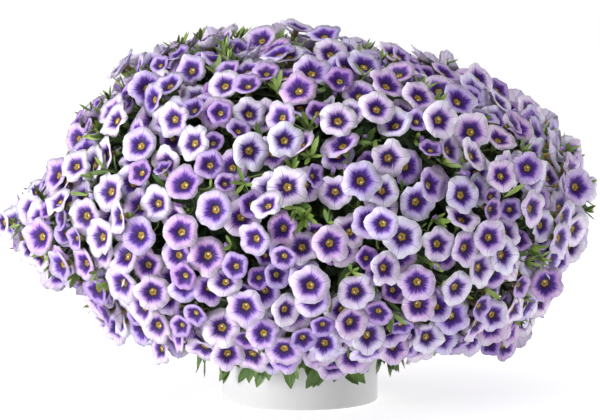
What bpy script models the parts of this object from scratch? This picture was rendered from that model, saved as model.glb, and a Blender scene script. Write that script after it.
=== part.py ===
"""Calibrachoa in full bloom, growing in a white cylinder pot.

The pot holds compost, the compost holds the leafy stems in plain holes, and each leafy stem is one
body: a woody stem that arches out of the compost, a small clump of foliage at its end, and the
leaves and five-lobed blooms that stand out of that clump. Together the stems make the broad mound.

Metres, +Z up. The origin is the middle of the pot's underside, and the front of the plant faces -Y.
"""

import math
import random

import bmesh
import bpy
from mathutils import Matrix, Vector
from mathutils.bvhtree import BVHTree

# The pot and its compost.
POT_RADIUS = 0.0675
POT_HEIGHT = 0.120
POT_WALL = 0.0042
POT_FLOOR = 0.006
POT_LIP_ROUND = 0.0016
FOOT_ROUND = 0.0022
DRAIN_RADIUS = 0.0045
DRAIN_CIRCLE = 0.036
DRAIN_COUNT = 4
DRAIN_SIDES = 12
INSIDE_ROUND = 0.002
POT_SIDES = 40
COMPOST_SIDES = 24
COMPOST_DROP = 0.012
COMPOST_CROWN = 0.002
COMPOST_ROUND = 0.003
CLEARANCE = 0.0003

# The mound of bloom: an ellipsoid, fuller below its waist, with the photo's lobes and hollows.
MOUND_CENTRE = Vector((0.0, 0.0, 0.165))
MOUND_HALF_WIDTH = 0.246
MOUND_HALF_DEPTH = 0.222
MOUND_RISE = 0.155
MOUND_DROP = 0.126
UPPER_POWER = 2.05
LOWER_POWER = 2.7
LOWEST_BLOOM_ANGLE = math.radians(-44)
OUTLINE_STEP = 0.02
WIDEST_SHARE = 1.6
# Each lump: azimuth and elevation of its middle, its half width round the mound and up it, all in
# degrees, and its height. Azimuth 0 is the mound's right, 180 its left and -90 its front.
LUMPS = (
    (180, 13, 36, 9, -0.036),
    (178, 30, 28, 6, -0.020),
    (180, 42, 16, 8, 0.006),
    (176, 64, 24, 9, 0.006),
    (181, -3, 16, 6, 0.008),
    (181, -19, 36, 9, -0.034),
    (180, -30, 12, 5, 0.004),
    (184, -41, 36, 8, -0.036),
    (0, 8, 20, 12, 0.004),
    (0, 34, 30, 12, -0.014),
    (2, 62, 60, 16, -0.012),
    (0, -14, 30, 9, -0.018),
    (-2, -33, 14, 6, 0.010),
    (-4, -46, 40, 9, -0.020),
    (-90, -30, 22, 22, 0.006),
    (-125, 34, 14, 14, -0.007),
    (-62, 30, 14, 14, 0.006),
    (60, 12, 18, 18, -0.012),
    (95, 30, 16, 16, 0.010),
    (130, -12, 18, 18, 0.010),
)

# The blooms: half widths, and how far below the mound's outline each layer of them sits. There are
# fewer than on the real plant, so each is a little larger than life and they still cover it.
BLOOM_COUNT = 322
BLOOM_TRIES = 9000
OPEN_BLOOM = (0.0158, 0.0182)
YOUNG_BLOOM = (0.0110, 0.0138)
YOUNG_SHARE = 0.30
LAYER_DEPTHS = (0.0, 0.006, 0.012, 0.018)
LAYER_HASTE = 2.5
DEPTH_SPREAD = 0.003
BLOOM_SPREAD = math.radians(24)
STEEPEST_TILT = math.radians(38)
TILT_SINK = 0.3
OUTWARD_SHARE = 0.7
ROOT_DROP = 0.012
NOTCH = 0.87
THROAT_DEPTH = 0.26
NECK_DEPTH = 0.46
NECK_RADIUS = 0.15
NOTCH_DROP = 0.04
BLOOM_GAP = 0.0014
BLOOM_REACH = 0.038

# Where a bloom is sampled to test crossings: rings at a share of its half width, and their depth.
TEST_RINGS = ((1.0, 0.0), (0.62, 0.12))
TEST_POINTS = 10
TEST_STALK = 5

# The leafy stems: a stem, a clump of foliage, and the leaves that stand out of it.
STEM_COUNT = 38
STEM_SAMPLES = 2600
STEM_RADIUS = 0.0017
STEM_REACH = 0.200
STEM_LEANS = (0.34, 0.22, 0.46, 0.12, 0.58, 0.04)
STEM_STEPS = 4
STEM_RISE = 0.004
STEM_ARCH = 0.030
STEM_FLARE = 1.15
LOWEST_STEM_SHARE = 0.72
HOLE_RADIUS = 0.0023
HOLE_DEPTH = 0.022
HOLE_RING = 0.043
HOLE_SIDES = 5
HOLE_ROOM = 0.003
CLUMP_SIDES = 8
CLUMP_DEPTH = 0.030
CLUMP_THICKNESS = 0.008
CLUMP_REACH = 0.055
CLUMP_CROWN = 0.005
CLUMP_COVER = 0.017
CLUMP_TURN = 0.5
CLUMP_TAPER = 0.36
CROWN_HEIGHT = POT_HEIGHT + 0.05
STEM_GAP = 0.0012
ROOT_SINK = 0.0045
ROOT_MARGIN = 0.005
ROOT_STEPS = 20
ROOT_REACH = 0.82 * CLUMP_REACH
LEAVES_PER_STEM = 5
LEAF_TRIES = 80
LEAF_LENGTH = (0.024, 0.036)
LEAF_LEAN = (0.15, 0.80)
LEAF_TURN = 1.2
LEAF_WIDTH = 0.0066
LEAF_THICKNESS = 0.0016
LEAF_ARCH = 0.07
LEAF_MIDDLE = 0.56

SEED = 20


def material(name, colour, roughness, metallic=0.0):
    made = bpy.data.materials.new(name)
    made.use_nodes = True
    shader = made.node_tree.nodes["Principled BSDF"]
    shader.inputs["Base Color"].default_value = (*colour, 1.0)
    shader.inputs["Roughness"].default_value = roughness
    shader.inputs["Metallic"].default_value = metallic
    return made


LUMP_RULES = [(*map(math.radians, angles), height) for *angles, height in LUMPS]


def mound_radius(way):
    """How far the mound's outline is from its centre, along a unit direction."""
    upper = way.z >= 0
    power = UPPER_POWER if upper else LOWER_POWER
    level = math.hypot(way.x / MOUND_HALF_WIDTH, way.y / MOUND_HALF_DEPTH)
    height = abs(way.z) / (MOUND_RISE if upper else MOUND_DROP)
    radius = (level**power + height**power) ** (-1 / power)
    azimuth = math.atan2(way.y, way.x)
    elevation = math.asin(max(-1.0, min(1.0, way.z)))
    for middle, up, wide, tall, lift in LUMP_RULES:
        round_it = (azimuth - middle + math.pi) % math.tau - math.pi
        across = round_it * math.cos(elevation) / wide
        radius += lift * math.exp(-(across**2) - ((elevation - up) / tall) ** 2)
    return radius


def mound_point(way):
    return MOUND_CENTRE + way * mound_radius(way)


def mound_normal(way):
    """The outline's outward normal, from two short steps along it."""
    side = way.orthogonal().normalized()
    other = way.cross(side)
    here = [mound_point((way + s * OUTLINE_STEP).normalized()) for s in (side, -side, other, -other)]
    normal = (here[0] - here[1]).cross(here[2] - here[3]).normalized()
    return normal if normal.dot(way) > 0 else -normal


def random_way(draw):
    """A direction drawn evenly over the mound's own surface, above its open underside."""
    largest = MOUND_HALF_WIDTH**2 * WIDEST_SHARE
    while True:
        way = Vector((draw.gauss(0, 1), draw.gauss(0, 1), draw.gauss(0, 1))).normalized()
        if math.asin(way.z) < LOWEST_BLOOM_ANGLE:
            continue
        share = mound_radius(way) ** 2 / mound_normal(way).dot(way) / largest
        if draw.random() < share:
            return way


class Bloom:
    """One bloom's place: the middle of its face, the way it looks, its half width and its age."""

    def __init__(self, way, depth, radius, young, draw):
        normal = mound_normal(way)
        outward = way.lerp(normal, 1 - OUTWARD_SHARE).normalized()
        tilt = abs(draw.gauss(0, BLOOM_SPREAD / 2))
        turn = draw.uniform(0, math.tau)
        side = outward.orthogonal().normalized()
        lean = side * math.cos(turn) + outward.cross(side) * math.sin(turn)
        self.way = way
        self.axis = (outward + lean * math.tan(min(tilt, STEEPEST_TILT))).normalized()
        self.radius = radius
        self.young = young
        self.twist = draw.uniform(0, math.tau)
        self.centre = mound_point(way) - normal * (depth + TILT_SINK * radius * math.sin(tilt))
        self.root = self.centre - self.axis * NECK_DEPTH * radius - normal * ROOT_DROP
        self.points = self.sample()

    def sample(self):
        """Points of the rim, of the half-way ring and of the tube, to test crossings with."""
        side = self.axis.orthogonal().normalized()
        other = self.axis.cross(side)
        points = []
        for share, drop in TEST_RINGS:
            for k in range(TEST_POINTS):
                turn = math.tau * k / TEST_POINTS
                ring = (side * math.cos(turn) + other * math.sin(turn)) * self.radius * share
                points.append(self.centre + ring - self.axis * self.radius * drop)
        neck = self.centre - self.axis * NECK_DEPTH * self.radius
        points += [neck.lerp(self.root, k / (TEST_STALK - 1)) for k in range(TEST_STALK)]
        return points

    def holds(self, point):
        """Whether a point lies in this bloom's dish, or within the gap that is kept round it."""
        offset = point - self.centre
        height = offset.dot(self.axis)
        across = (offset - self.axis * height).length
        if across > self.radius + BLOOM_GAP:
            return False
        inward = 1 - min(across / self.radius, 1.0)
        front = -THROAT_DEPTH * self.radius * inward
        back = -NECK_DEPTH * self.radius * inward
        return back - BLOOM_GAP < height < front + BLOOM_GAP

    def crosses(self, other):
        if (self.centre - other.centre).length > self.radius + other.radius + 2 * ROOT_DROP:
            return False
        return any(map(other.holds, self.points)) or any(map(self.holds, other.points))


def place_blooms():
    """Throws blooms at the mound, largest and outermost first, and keeps those that cross none."""
    draw = random.Random(SEED)
    kept = []
    for trial in range(BLOOM_TRIES):
        if len(kept) == BLOOM_COUNT:
            break
        way = random_way(draw)
        young = draw.random() < YOUNG_SHARE
        radius = draw.uniform(*(YOUNG_BLOOM if young else OPEN_BLOOM))
        layer = int(len(LAYER_DEPTHS) * LAYER_HASTE * trial / BLOOM_TRIES)
        layer_depth = LAYER_DEPTHS[min(layer, len(LAYER_DEPTHS) - 1)]
        depth = layer_depth + draw.uniform(-DEPTH_SPREAD, DEPTH_SPREAD)
        bloom = Bloom(way, depth, radius, young, draw)
        if not any(bloom.crosses(other) for other in kept):
            kept.append(bloom)
    return kept


def stem_ways():
    """Evenly spread directions for the stems' heads, each the furthest from those before it."""
    draw = random.Random(SEED + 1)
    samples = []
    while len(samples) < STEM_SAMPLES:
        way = random_way(draw)
        if math.asin(way.z) > LOWEST_BLOOM_ANGLE * LOWEST_STEM_SHARE:
            samples.append(way)
    points = [mound_point(way) for way in samples]
    chosen = [max(range(STEM_SAMPLES), key=lambda k: points[k].z)]
    nearest = [(point - points[chosen[0]]).length for point in points]
    while len(chosen) < STEM_COUNT:
        pick = max(range(STEM_SAMPLES), key=lambda k: nearest[k])
        chosen.append(pick)
        nearest = [min(d, (point - points[pick]).length) for d, point in zip(nearest, points)]
    return [samples[k] for k in chosen]


class Cell:
    """The share of the mound that one stem fills, between the planes half way to its neighbours."""

    def __init__(self, way, others):
        self.way = way
        self.planes = [(way - other).normalized() for other in others]
        self.normal = mound_normal(way).lerp(way, CLUMP_TURN).normalized()
        self.middle = mound_point(way) - self.normal * CLUMP_DEPTH
        self.tree = bvh(clump_solid(self))

    def clear(self, point):
        """How far inside its own share a point lies."""
        offset = point - MOUND_CENTRE
        return min(offset.dot(plane) for plane in self.planes)

    def onto_clump(self, point):
        """The point under this one where a root ends, sunk in the clump's outer face and well
        inside its edge."""
        for k in range(ROOT_STEPS):
            moved = point.lerp(self.middle, k / ROOT_STEPS)
            hit = self.tree.ray_cast(moved + self.normal * CLUMP_REACH, -self.normal)[0]
            if hit is None:
                continue
            sunk = hit - self.normal * ROOT_SINK
            if self.clear(sunk) > ROOT_MARGIN and (sunk - self.middle).length < ROOT_REACH:
                return sunk
        return self.middle - self.normal * ROOT_SINK


def new_object(name, bm, materials, collection):
    mesh = bpy.data.meshes.new(name)
    bmesh.ops.recalc_face_normals(bm, faces=bm.faces)
    bm.to_mesh(mesh)
    bm.free()
    for item in materials:
        mesh.materials.append(item)
    obj = bpy.data.objects.new(name, mesh)
    collection.objects.link(obj)
    return obj


def aim(axis, twist=0.0):
    """The rotation that turns +Z to an axis, after a turn about +Z."""
    return axis.to_track_quat("Z", "Y").to_matrix().to_4x4() @ Matrix.Rotation(twist, 4, "Z")


def loop_of(bm, segments, radius, height):
    made = bmesh.ops.create_circle(bm, segments=segments, radius=radius)
    bmesh.ops.translate(bm, verts=made["verts"], vec=(0, 0, height))
    return made["verts"]


def edges_among(verts):
    inside = set(verts)
    return [edge for v in verts for edge in v.link_edges if edge.other_vert(v) in inside]


def bloom_solid(bloom, root):
    """A corolla: a lobed rim, a sunk throat, a narrow neck behind, and a stalk down to the root.
    An open bloom has five lobes with a notch between each, and a young one is a plain pentagon."""
    bm = bmesh.new()
    points = 5 if bloom.young else 10
    rim = loop_of(bm, points, bloom.radius, 0.0)
    if not bloom.young:
        for vert in rim[1::2]:
            vert.co *= NOTCH
            vert.co.z = -NOTCH_DROP * bloom.radius
    neck = loop_of(bm, 3, NECK_RADIUS * bloom.radius, -NECK_DEPTH * bloom.radius)
    bmesh.ops.bridge_loops(bm, edges=list(set(edges_among(rim) + edges_among(neck))))
    throat = bm.verts.new((0, 0, -THROAT_DEPTH * bloom.radius))
    foot = bm.verts.new((0, 0, -2 * bloom.radius))
    for ring, apex in ((rim, throat), (neck, foot)):
        for edge in set(edges_among(ring)):
            if len(edge.link_faces) == 1:
                bm.faces.new((*edge.verts, apex))
    bmesh.ops.transform(bm, matrix=aim(bloom.axis, bloom.twist), verts=bm.verts)
    bmesh.ops.translate(bm, verts=bm.verts, vec=bloom.centre)
    foot.co = root
    return bm


def leaf_solid(root, tip, up, width):
    """A lance-shaped blade from a root to a tip, thickest along its rib and bent a little back."""
    bm = bmesh.new()
    along = (tip - root).normalized()
    side = along.cross(up).normalized()
    face = side.cross(along).normalized()
    middle = root.lerp(tip, LEAF_MIDDLE) + face * LEAF_ARCH * (tip - root).length
    outline = [root, middle + side * width / 2, tip, middle - side * width / 2]
    loop = [bm.verts.new(co) for co in outline]
    ribs = [bm.verts.new(middle + face * sign * LEAF_THICKNESS / 2) for sign in (1, -1)]
    for rib in ribs:
        for first, second in zip(loop, loop[1:] + loop[:1]):
            bm.faces.new((first, second, rib))
    return bm


def clump_solid(cell):
    """The small foliage clump at a stem's end: a plate cut to the cell's outline, kept under the
    mound's surface, raised in its middle, with its back drawn down to where the stem joins."""
    bm = bmesh.new()
    bmesh.ops.create_cone(
        bm,
        cap_ends=True,
        segments=CLUMP_SIDES,
        radius1=CLUMP_REACH,
        radius2=CLUMP_REACH,
        depth=CLUMP_THICKNESS,
    )
    bmesh.ops.transform(bm, matrix=aim(cell.normal), verts=bm.verts)
    middle = cell.middle - cell.normal * CLUMP_THICKNESS / 2
    bmesh.ops.translate(bm, verts=bm.verts, vec=middle)
    for plane in cell.planes:
        cut = bmesh.ops.bisect_plane(
            bm,
            geom=[*bm.verts, *bm.edges, *bm.faces],
            plane_co=MOUND_CENTRE + plane * STEM_GAP / 2,
            plane_no=plane,
            clear_inner=True,
            dist=1e-6,
        )
        edges = [item for item in cut["geom_cut"] if isinstance(item, bmesh.types.BMEdge)]
        if edges:
            bmesh.ops.contextual_create(bm, geom=edges)
    bmesh.ops.remove_doubles(bm, verts=bm.verts, dist=1e-5)
    for vert in bm.verts:
        offset = vert.co - MOUND_CENTRE
        outer = (vert.co - middle).dot(cell.normal) > 0
        most = mound_radius(offset.normalized()) - CLUMP_COVER - (0 if outer else CLUMP_THICKNESS)
        vert.co = MOUND_CENTRE + offset * min(1.0, most / offset.length)
    bmesh.ops.recalc_face_normals(bm, faces=bm.faces)
    faces = sorted(bm.faces, key=lambda f: f.normal.dot(cell.normal))
    back, front = faces[0], faces[-1]
    bmesh.ops.poke(bm, faces=[front], offset=CLUMP_CROWN)
    tip = bmesh.ops.poke(bm, faces=[back])["verts"][0]
    tip.co = clump_joint(cell)
    return bm


def clump_joint(cell):
    """Where the stem meets the back of its clump, drawn in towards the crown."""
    return cell.middle.lerp(Vector((0, 0, CROWN_HEIGHT)), CLUMP_TAPER)


def stem_hole(cell):
    """The stem's place in the compost: trailing stems stand near the wall, upright ones inside."""
    level = Vector((cell.way.x, cell.way.y, 0))
    down = 1 - (math.asin(cell.way.z) - LOWEST_BLOOM_ANGLE) / (math.pi / 2 - LOWEST_BLOOM_ANGLE)
    return level.normalized() * (HOLE_RING * math.sqrt(down)) if level.length > 1e-6 else level


def stem_route(cell, lean):
    """From the bottom of its hole, up over the pot's edge, and out into the clump's back. A stem
    with more lean turns outwards sooner."""
    hole = stem_hole(cell)
    compost_top = POT_HEIGHT - COMPOST_DROP
    end = clump_joint(cell)
    rise = Vector((hole.x, hole.y, compost_top + STEM_RISE))
    top = rise.z + max(STEM_ARCH, (end.z - rise.z) / 2)
    over = Vector((hole.x * STEM_FLARE, hole.y * STEM_FLARE, top))
    bend = over.lerp(Vector((end.x, end.y, top)), lean)
    route = [Vector((hole.x, hole.y, compost_top - HOLE_DEPTH + HOLE_ROOM))]
    for k in range(STEM_STEPS):
        t = k / (STEM_STEPS - 1)
        route.append(rise * (1 - t) ** 2 + bend * 2 * t * (1 - t) + end * t**2)
    route.append(end.lerp(cell.middle, 0.25))
    return route


def tube(route, radius):
    """A closed tube along a route: a bevelled curve, made a mesh with its caps welded on."""
    curve = bpy.data.curves.new("tube", "CURVE")
    curve.dimensions = "3D"
    curve.bevel_depth = radius
    curve.bevel_resolution = 0
    curve.use_fill_caps = True
    spline = curve.splines.new("POLY")
    spline.points.add(len(route) - 1)
    for point, co in zip(spline.points, route):
        point.co = (*co, 1)
    guide = bpy.data.objects.new("tube", curve)
    bpy.context.scene.collection.objects.link(guide)
    evaluated = guide.evaluated_get(bpy.context.evaluated_depsgraph_get())
    mesh = bpy.data.meshes.new_from_object(evaluated)
    bpy.data.objects.remove(guide)
    bm = bmesh.new()
    bm.from_mesh(mesh)
    bmesh.ops.remove_doubles(bm, verts=bm.verts, dist=1e-6)
    return bm


def bvh(bm):
    bm.verts.ensure_lookup_table()
    return BVHTree.FromBMesh(bm)


class Space:
    """What already fills the mound, so that nothing new crosses it."""

    def __init__(self):
        self.filled = []

    def add(self, place, reach, tree, owner=None):
        """Notes a solid. One with an owner may be crossed by that owner's own pieces."""
        self.filled.append((place, reach, tree, owner))

    def free(self, place, reach, tree, owner=None):
        for other_place, other_reach, other_tree, other_owner in self.filled:
            if owner is not None and owner is other_owner:
                continue
            if (place - other_place).length < reach + other_reach and tree.overlap(other_tree):
                return False
        return True


def route_stems(cells, space):
    """Gives each stem the first lean that keeps it clear of every other stem and clump."""
    for cell in cells:
        space.add(cell.middle, CLUMP_REACH, cell.tree, cell)
    for cell in cells:
        for lean in STEM_LEANS:
            cell.route = stem_route(cell, lean)
            tree = bvh(tube(cell.route, STEM_RADIUS + CLEARANCE))
            if space.free(cell.middle, STEM_REACH, tree, cell):
                break
        else:
            print("no clear way for the stem at", cell.middle)
        space.add(cell.middle, STEM_REACH, tree, cell)


def grow_leaves(cell, draw, space):
    """Blades that stand out of the clump in the spaces between the blooms, clear of all of them."""
    leaves = []
    side = cell.normal.orthogonal().normalized()
    other = cell.normal.cross(side)
    for _ in range(LEAF_TRIES):
        if len(leaves) == LEAVES_PER_STEM:
            break
        turn = draw.uniform(0, math.tau)
        reach = CLUMP_REACH * math.sqrt(draw.random())
        lean = draw.uniform(0, math.tau)
        root = cell.onto_clump(cell.middle + (side * math.cos(turn) + other * math.sin(turn)) * reach)
        leaning = side * math.cos(lean) + other * math.sin(lean)
        way = cell.normal + leaning * draw.uniform(*LEAF_LEAN)
        tip = root + way.normalized() * draw.uniform(*LEAF_LENGTH)
        up = side * math.cos(lean + LEAF_TURN) + other * math.sin(lean + LEAF_TURN)
        blade = leaf_solid(root, tip, up, LEAF_WIDTH)
        tree = bvh(blade)
        if not space.free(tip, LEAF_LENGTH[1], tree, cell):
            blade.free()
            continue
        space.add(tip, LEAF_LENGTH[1], tree)
        leaves.append(blade)
    return leaves


def grow_blooms(cells, blooms, space):
    """Each stem's bloom solids. A bloom grows from the clump that is nearest in direction, and one
    that would cross another piece, or lie in its own clump, is left out."""
    heads = [[] for _ in cells]
    for bloom in blooms:
        home = max(range(len(cells)), key=lambda k: cells[k].way.dot(bloom.way))
        cell = cells[home]
        solid = bloom_solid(bloom, cell.onto_clump(bloom.root))
        tree = bvh(solid)
        buried = (bloom.centre - cell.middle).dot(cell.normal) < NECK_DEPTH * bloom.radius
        if buried or not space.free(bloom.centre, BLOOM_REACH, tree, cell):
            solid.free()
            continue
        space.add(bloom.centre, BLOOM_REACH, tree)
        heads[home].append(solid)
    return heads


def join(base, repeats, name):
    """Fuses a stem's repeats to its clump with one Boolean union, and removes them."""
    modifier = base.modifiers.new("Grown on", "BOOLEAN")
    modifier.operation = "UNION"
    modifier.operand_type = "COLLECTION"
    modifier.collection = repeats
    modifier.solver = "MANIFOLD"
    evaluated = base.evaluated_get(bpy.context.evaluated_depsgraph_get())
    mesh = bpy.data.meshes.new_from_object(evaluated)
    base.modifiers.clear()
    base.data = mesh
    mesh.name = name
    for obj in list(repeats.objects):
        bpy.data.objects.remove(obj)
    bpy.data.collections.remove(repeats)


def turned(name, profile, steps, finish, collection):
    """A solid turned about Z from a profile that runs down its outer side."""
    mesh = bpy.data.meshes.new(name)
    mesh.from_pydata([(r, 0, z) for r, z in profile], [(k, k + 1) for k in range(len(profile) - 1)], [])
    mesh.materials.append(finish)
    obj = bpy.data.objects.new(name, mesh)
    collection.objects.link(obj)
    screw = obj.modifiers.new("Turn", "SCREW")
    screw.steps = steps
    screw.render_steps = steps
    screw.use_merge_vertices = True
    screw.merge_threshold = 1e-5
    screw.use_normal_calculate = True
    screw.use_smooth_shade = False
    return obj


def cut(obj, cutters):
    modifier = obj.modifiers.new("Holes", "BOOLEAN")
    modifier.operation = "DIFFERENCE"
    modifier.operand_type = "COLLECTION"
    modifier.collection = cutters


def cutter(name, place, radius, depth, sides, cutters):
    bm = bmesh.new()
    bmesh.ops.create_cone(bm, cap_ends=True, segments=sides, radius1=radius, radius2=radius, depth=depth)
    bmesh.ops.translate(bm, verts=bm.verts, vec=place)
    obj = new_object(name, bm, [], cutters)
    obj.hide_render = True
    obj.display_type = "WIRE"
    return obj


def make_pot(finish, parts, cutters):
    """A plain straight cylinder with a rounded lip and foot, and drainage holes in its floor."""
    inner = POT_RADIUS - POT_WALL
    profile = [
        (0, POT_FLOOR),
        (inner - INSIDE_ROUND, POT_FLOOR),
        (inner, POT_FLOOR + INSIDE_ROUND),
        (inner, POT_HEIGHT - POT_LIP_ROUND),
        (inner + POT_LIP_ROUND / 2, POT_HEIGHT),
        (POT_RADIUS - POT_LIP_ROUND, POT_HEIGHT),
        (POT_RADIUS, POT_HEIGHT - POT_LIP_ROUND),
        (POT_RADIUS, FOOT_ROUND),
        (POT_RADIUS - FOOT_ROUND, 0),
        (0, 0),
    ]
    pot = turned("pot", profile, POT_SIDES, finish, parts)
    for k in range(DRAIN_COUNT):
        turn = math.tau * (k + 0.5) / DRAIN_COUNT
        place = (DRAIN_CIRCLE * math.cos(turn), DRAIN_CIRCLE * math.sin(turn), POT_FLOOR / 2)
        cutter(f"drain_{k + 1}", place, DRAIN_RADIUS, POT_FLOOR * 3, DRAIN_SIDES, cutters)
    cut(pot, cutters)


def make_compost(finish, cells, parts, cutters):
    """The compost fills the pot to just below its lip, with a plain hole for each stem."""
    outer = POT_RADIUS - POT_WALL - CLEARANCE
    top = POT_HEIGHT - COMPOST_DROP
    bottom = POT_FLOOR + CLEARANCE
    profile = [
        (0, top),
        (outer, top - COMPOST_CROWN),
        (outer, bottom + COMPOST_ROUND),
        (outer - COMPOST_ROUND, bottom),
        (0, bottom),
    ]
    compost = turned("compost", profile, COMPOST_SIDES, finish, parts)
    for k, cell in enumerate(cells):
        hole = stem_hole(cell)
        place = (hole.x, hole.y, top)
        cutter(f"hole_{k + 1:02d}", place, HOLE_RADIUS, 2 * HOLE_DEPTH, HOLE_SIDES, cutters)
    cut(compost, cutters)


def make_stem(number, cell, blooms, space, draw, materials, parts):
    """One leafy stem with its clump, leaves and blooms, fused into one body."""
    name = f"leafy_stem_{number:02d}"
    repeats = bpy.data.collections.new(f"{name}_repeats")
    bpy.context.scene.collection.children.link(repeats)
    green, wood, petal = materials
    base = new_object(name, clump_solid(cell), [green, wood, petal], parts)
    new_object("stem", tube(cell.route, STEM_RADIUS), [wood], repeats)
    for solid in blooms:
        new_object("bloom", solid, [petal], repeats)
    for solid in grow_leaves(cell, draw, space):
        new_object("leaf", solid, [green], repeats)
    join(base, repeats, name)


def main():
    for obj in list(bpy.data.objects):
        bpy.data.objects.remove(obj, do_unlink=True)
    parts = bpy.data.collections.new("Calibrachoa")
    drains = bpy.data.collections.new("Drain cutters")
    holes = bpy.data.collections.new("Stem hole cutters")
    for collection in (parts, drains, holes):
        bpy.context.scene.collection.children.link(collection)

    white = material("White glaze", (0.82, 0.83, 0.84), 0.32)
    earth = material("Moist compost", (0.055, 0.035, 0.022), 0.95)
    green = material("Leaf green", (0.10, 0.22, 0.05), 0.55)
    wood = material("Green stem", (0.16, 0.22, 0.07), 0.6)
    petal = material("Lilac petal", (0.58, 0.44, 0.78), 0.5)

    ways = stem_ways()
    cells = [Cell(way, [other for other in ways if other is not way]) for way in ways]
    blooms = place_blooms()
    make_pot(white, parts, drains)
    make_compost(earth, cells, parts, holes)

    space = Space()
    route_stems(cells, space)
    heads = grow_blooms(cells, blooms, space)
    print("blooms placed", len(blooms), "and built", sum(map(len, heads)))

    draw = random.Random(SEED + 2)
    for number, (cell, solids) in enumerate(zip(cells, heads), 1):
        make_stem(number, cell, solids, space, draw, (green, wood, petal), parts)


main()
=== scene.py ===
# %% [markdown]
# # A calibrachoa in full bloom, dressed over its CAD model
# The CAD model has the right sizes: a white pot, its compost, and thirty-eight leafy stems, each a
# plain solid with coarse leaves and blooms. This lesson keeps those places and sizes, and makes
# each stem again as the plant grows it: thin twigs, hundreds of narrow leaves, and trumpet blooms
# with a dark eye and a golden throat.

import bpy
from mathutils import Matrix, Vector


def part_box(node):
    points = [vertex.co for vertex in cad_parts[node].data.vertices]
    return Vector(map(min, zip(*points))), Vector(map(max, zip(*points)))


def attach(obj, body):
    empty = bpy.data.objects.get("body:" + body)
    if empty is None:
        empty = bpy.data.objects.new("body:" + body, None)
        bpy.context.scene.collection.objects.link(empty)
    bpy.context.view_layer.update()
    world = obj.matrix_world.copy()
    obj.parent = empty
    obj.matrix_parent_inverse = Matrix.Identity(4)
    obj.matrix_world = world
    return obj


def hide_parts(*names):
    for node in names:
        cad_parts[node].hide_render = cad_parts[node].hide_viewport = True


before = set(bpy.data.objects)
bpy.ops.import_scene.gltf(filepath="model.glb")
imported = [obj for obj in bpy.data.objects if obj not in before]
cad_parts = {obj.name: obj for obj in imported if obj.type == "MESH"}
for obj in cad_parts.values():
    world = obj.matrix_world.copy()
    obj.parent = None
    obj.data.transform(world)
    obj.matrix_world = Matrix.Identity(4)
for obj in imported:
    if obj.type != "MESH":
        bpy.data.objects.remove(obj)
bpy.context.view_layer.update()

# %% Imports
import math
import random

import bmesh
import bpy
import numpy as np
from mathutils import Matrix, Vector, noise

scene = bpy.context.scene

# %% [markdown]
# ## The camera
# The photograph was taken from a little above the middle of the plant, from far enough away that
# the pot's sides stay upright. A long lens nearly two metres back gives the same view.

# %% Camera
CAMERA_PLACE = Vector((0.0, -1.80, 0.285))
CAMERA_AIM = Vector((0.0, 0.0, 0.165))
LENS_MM = 125
SENSOR_MM = 36

camera = bpy.data.objects.new("camera", bpy.data.cameras.new("camera"))
camera.data.lens = LENS_MM
camera.data.sensor_width = SENSOR_MM
camera.location = CAMERA_PLACE
camera.rotation_euler = (CAMERA_AIM - CAMERA_PLACE).to_track_quat("-Z", "Y").to_euler()
scene.collection.objects.link(camera)
scene.camera = camera
print("camera", round((CAMERA_AIM - CAMERA_PLACE).length, 2), "m from the plant")

# %% [markdown]
# ## Materials from nodes
# A finish could be built by placing nodes one by one, but then the sum is lost in the wiring. Here
# a small class wraps a number's socket, so that shader maths reads as Python, and one method adds
# every other kind of node.


# %% A number in the shader
def both_ways(operation):
    """An operator's method, and its reflected form for when a plain number stands on the left."""

    def forward(value, other):
        return value.math(operation, other)

    def reflected(value, other):
        return value.finish.math(operation, other, value)

    return forward, reflected


class Value:
    """A number that changes over the surface. An expression on values adds its Math nodes."""

    __add__, __radd__ = both_ways("ADD")
    __sub__, __rsub__ = both_ways("SUBTRACT")
    __mul__, __rmul__ = both_ways("MULTIPLY")
    __truediv__, __rtruediv__ = both_ways("DIVIDE")

    def __init__(self, finish, socket):
        self.finish = finish
        self.socket = socket

    def math(self, operation, *others):
        return self.finish.math(operation, self, *others)

    def clamped(self):
        return self.math("MAXIMUM", 0.0).math("MINIMUM", 1.0)


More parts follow.
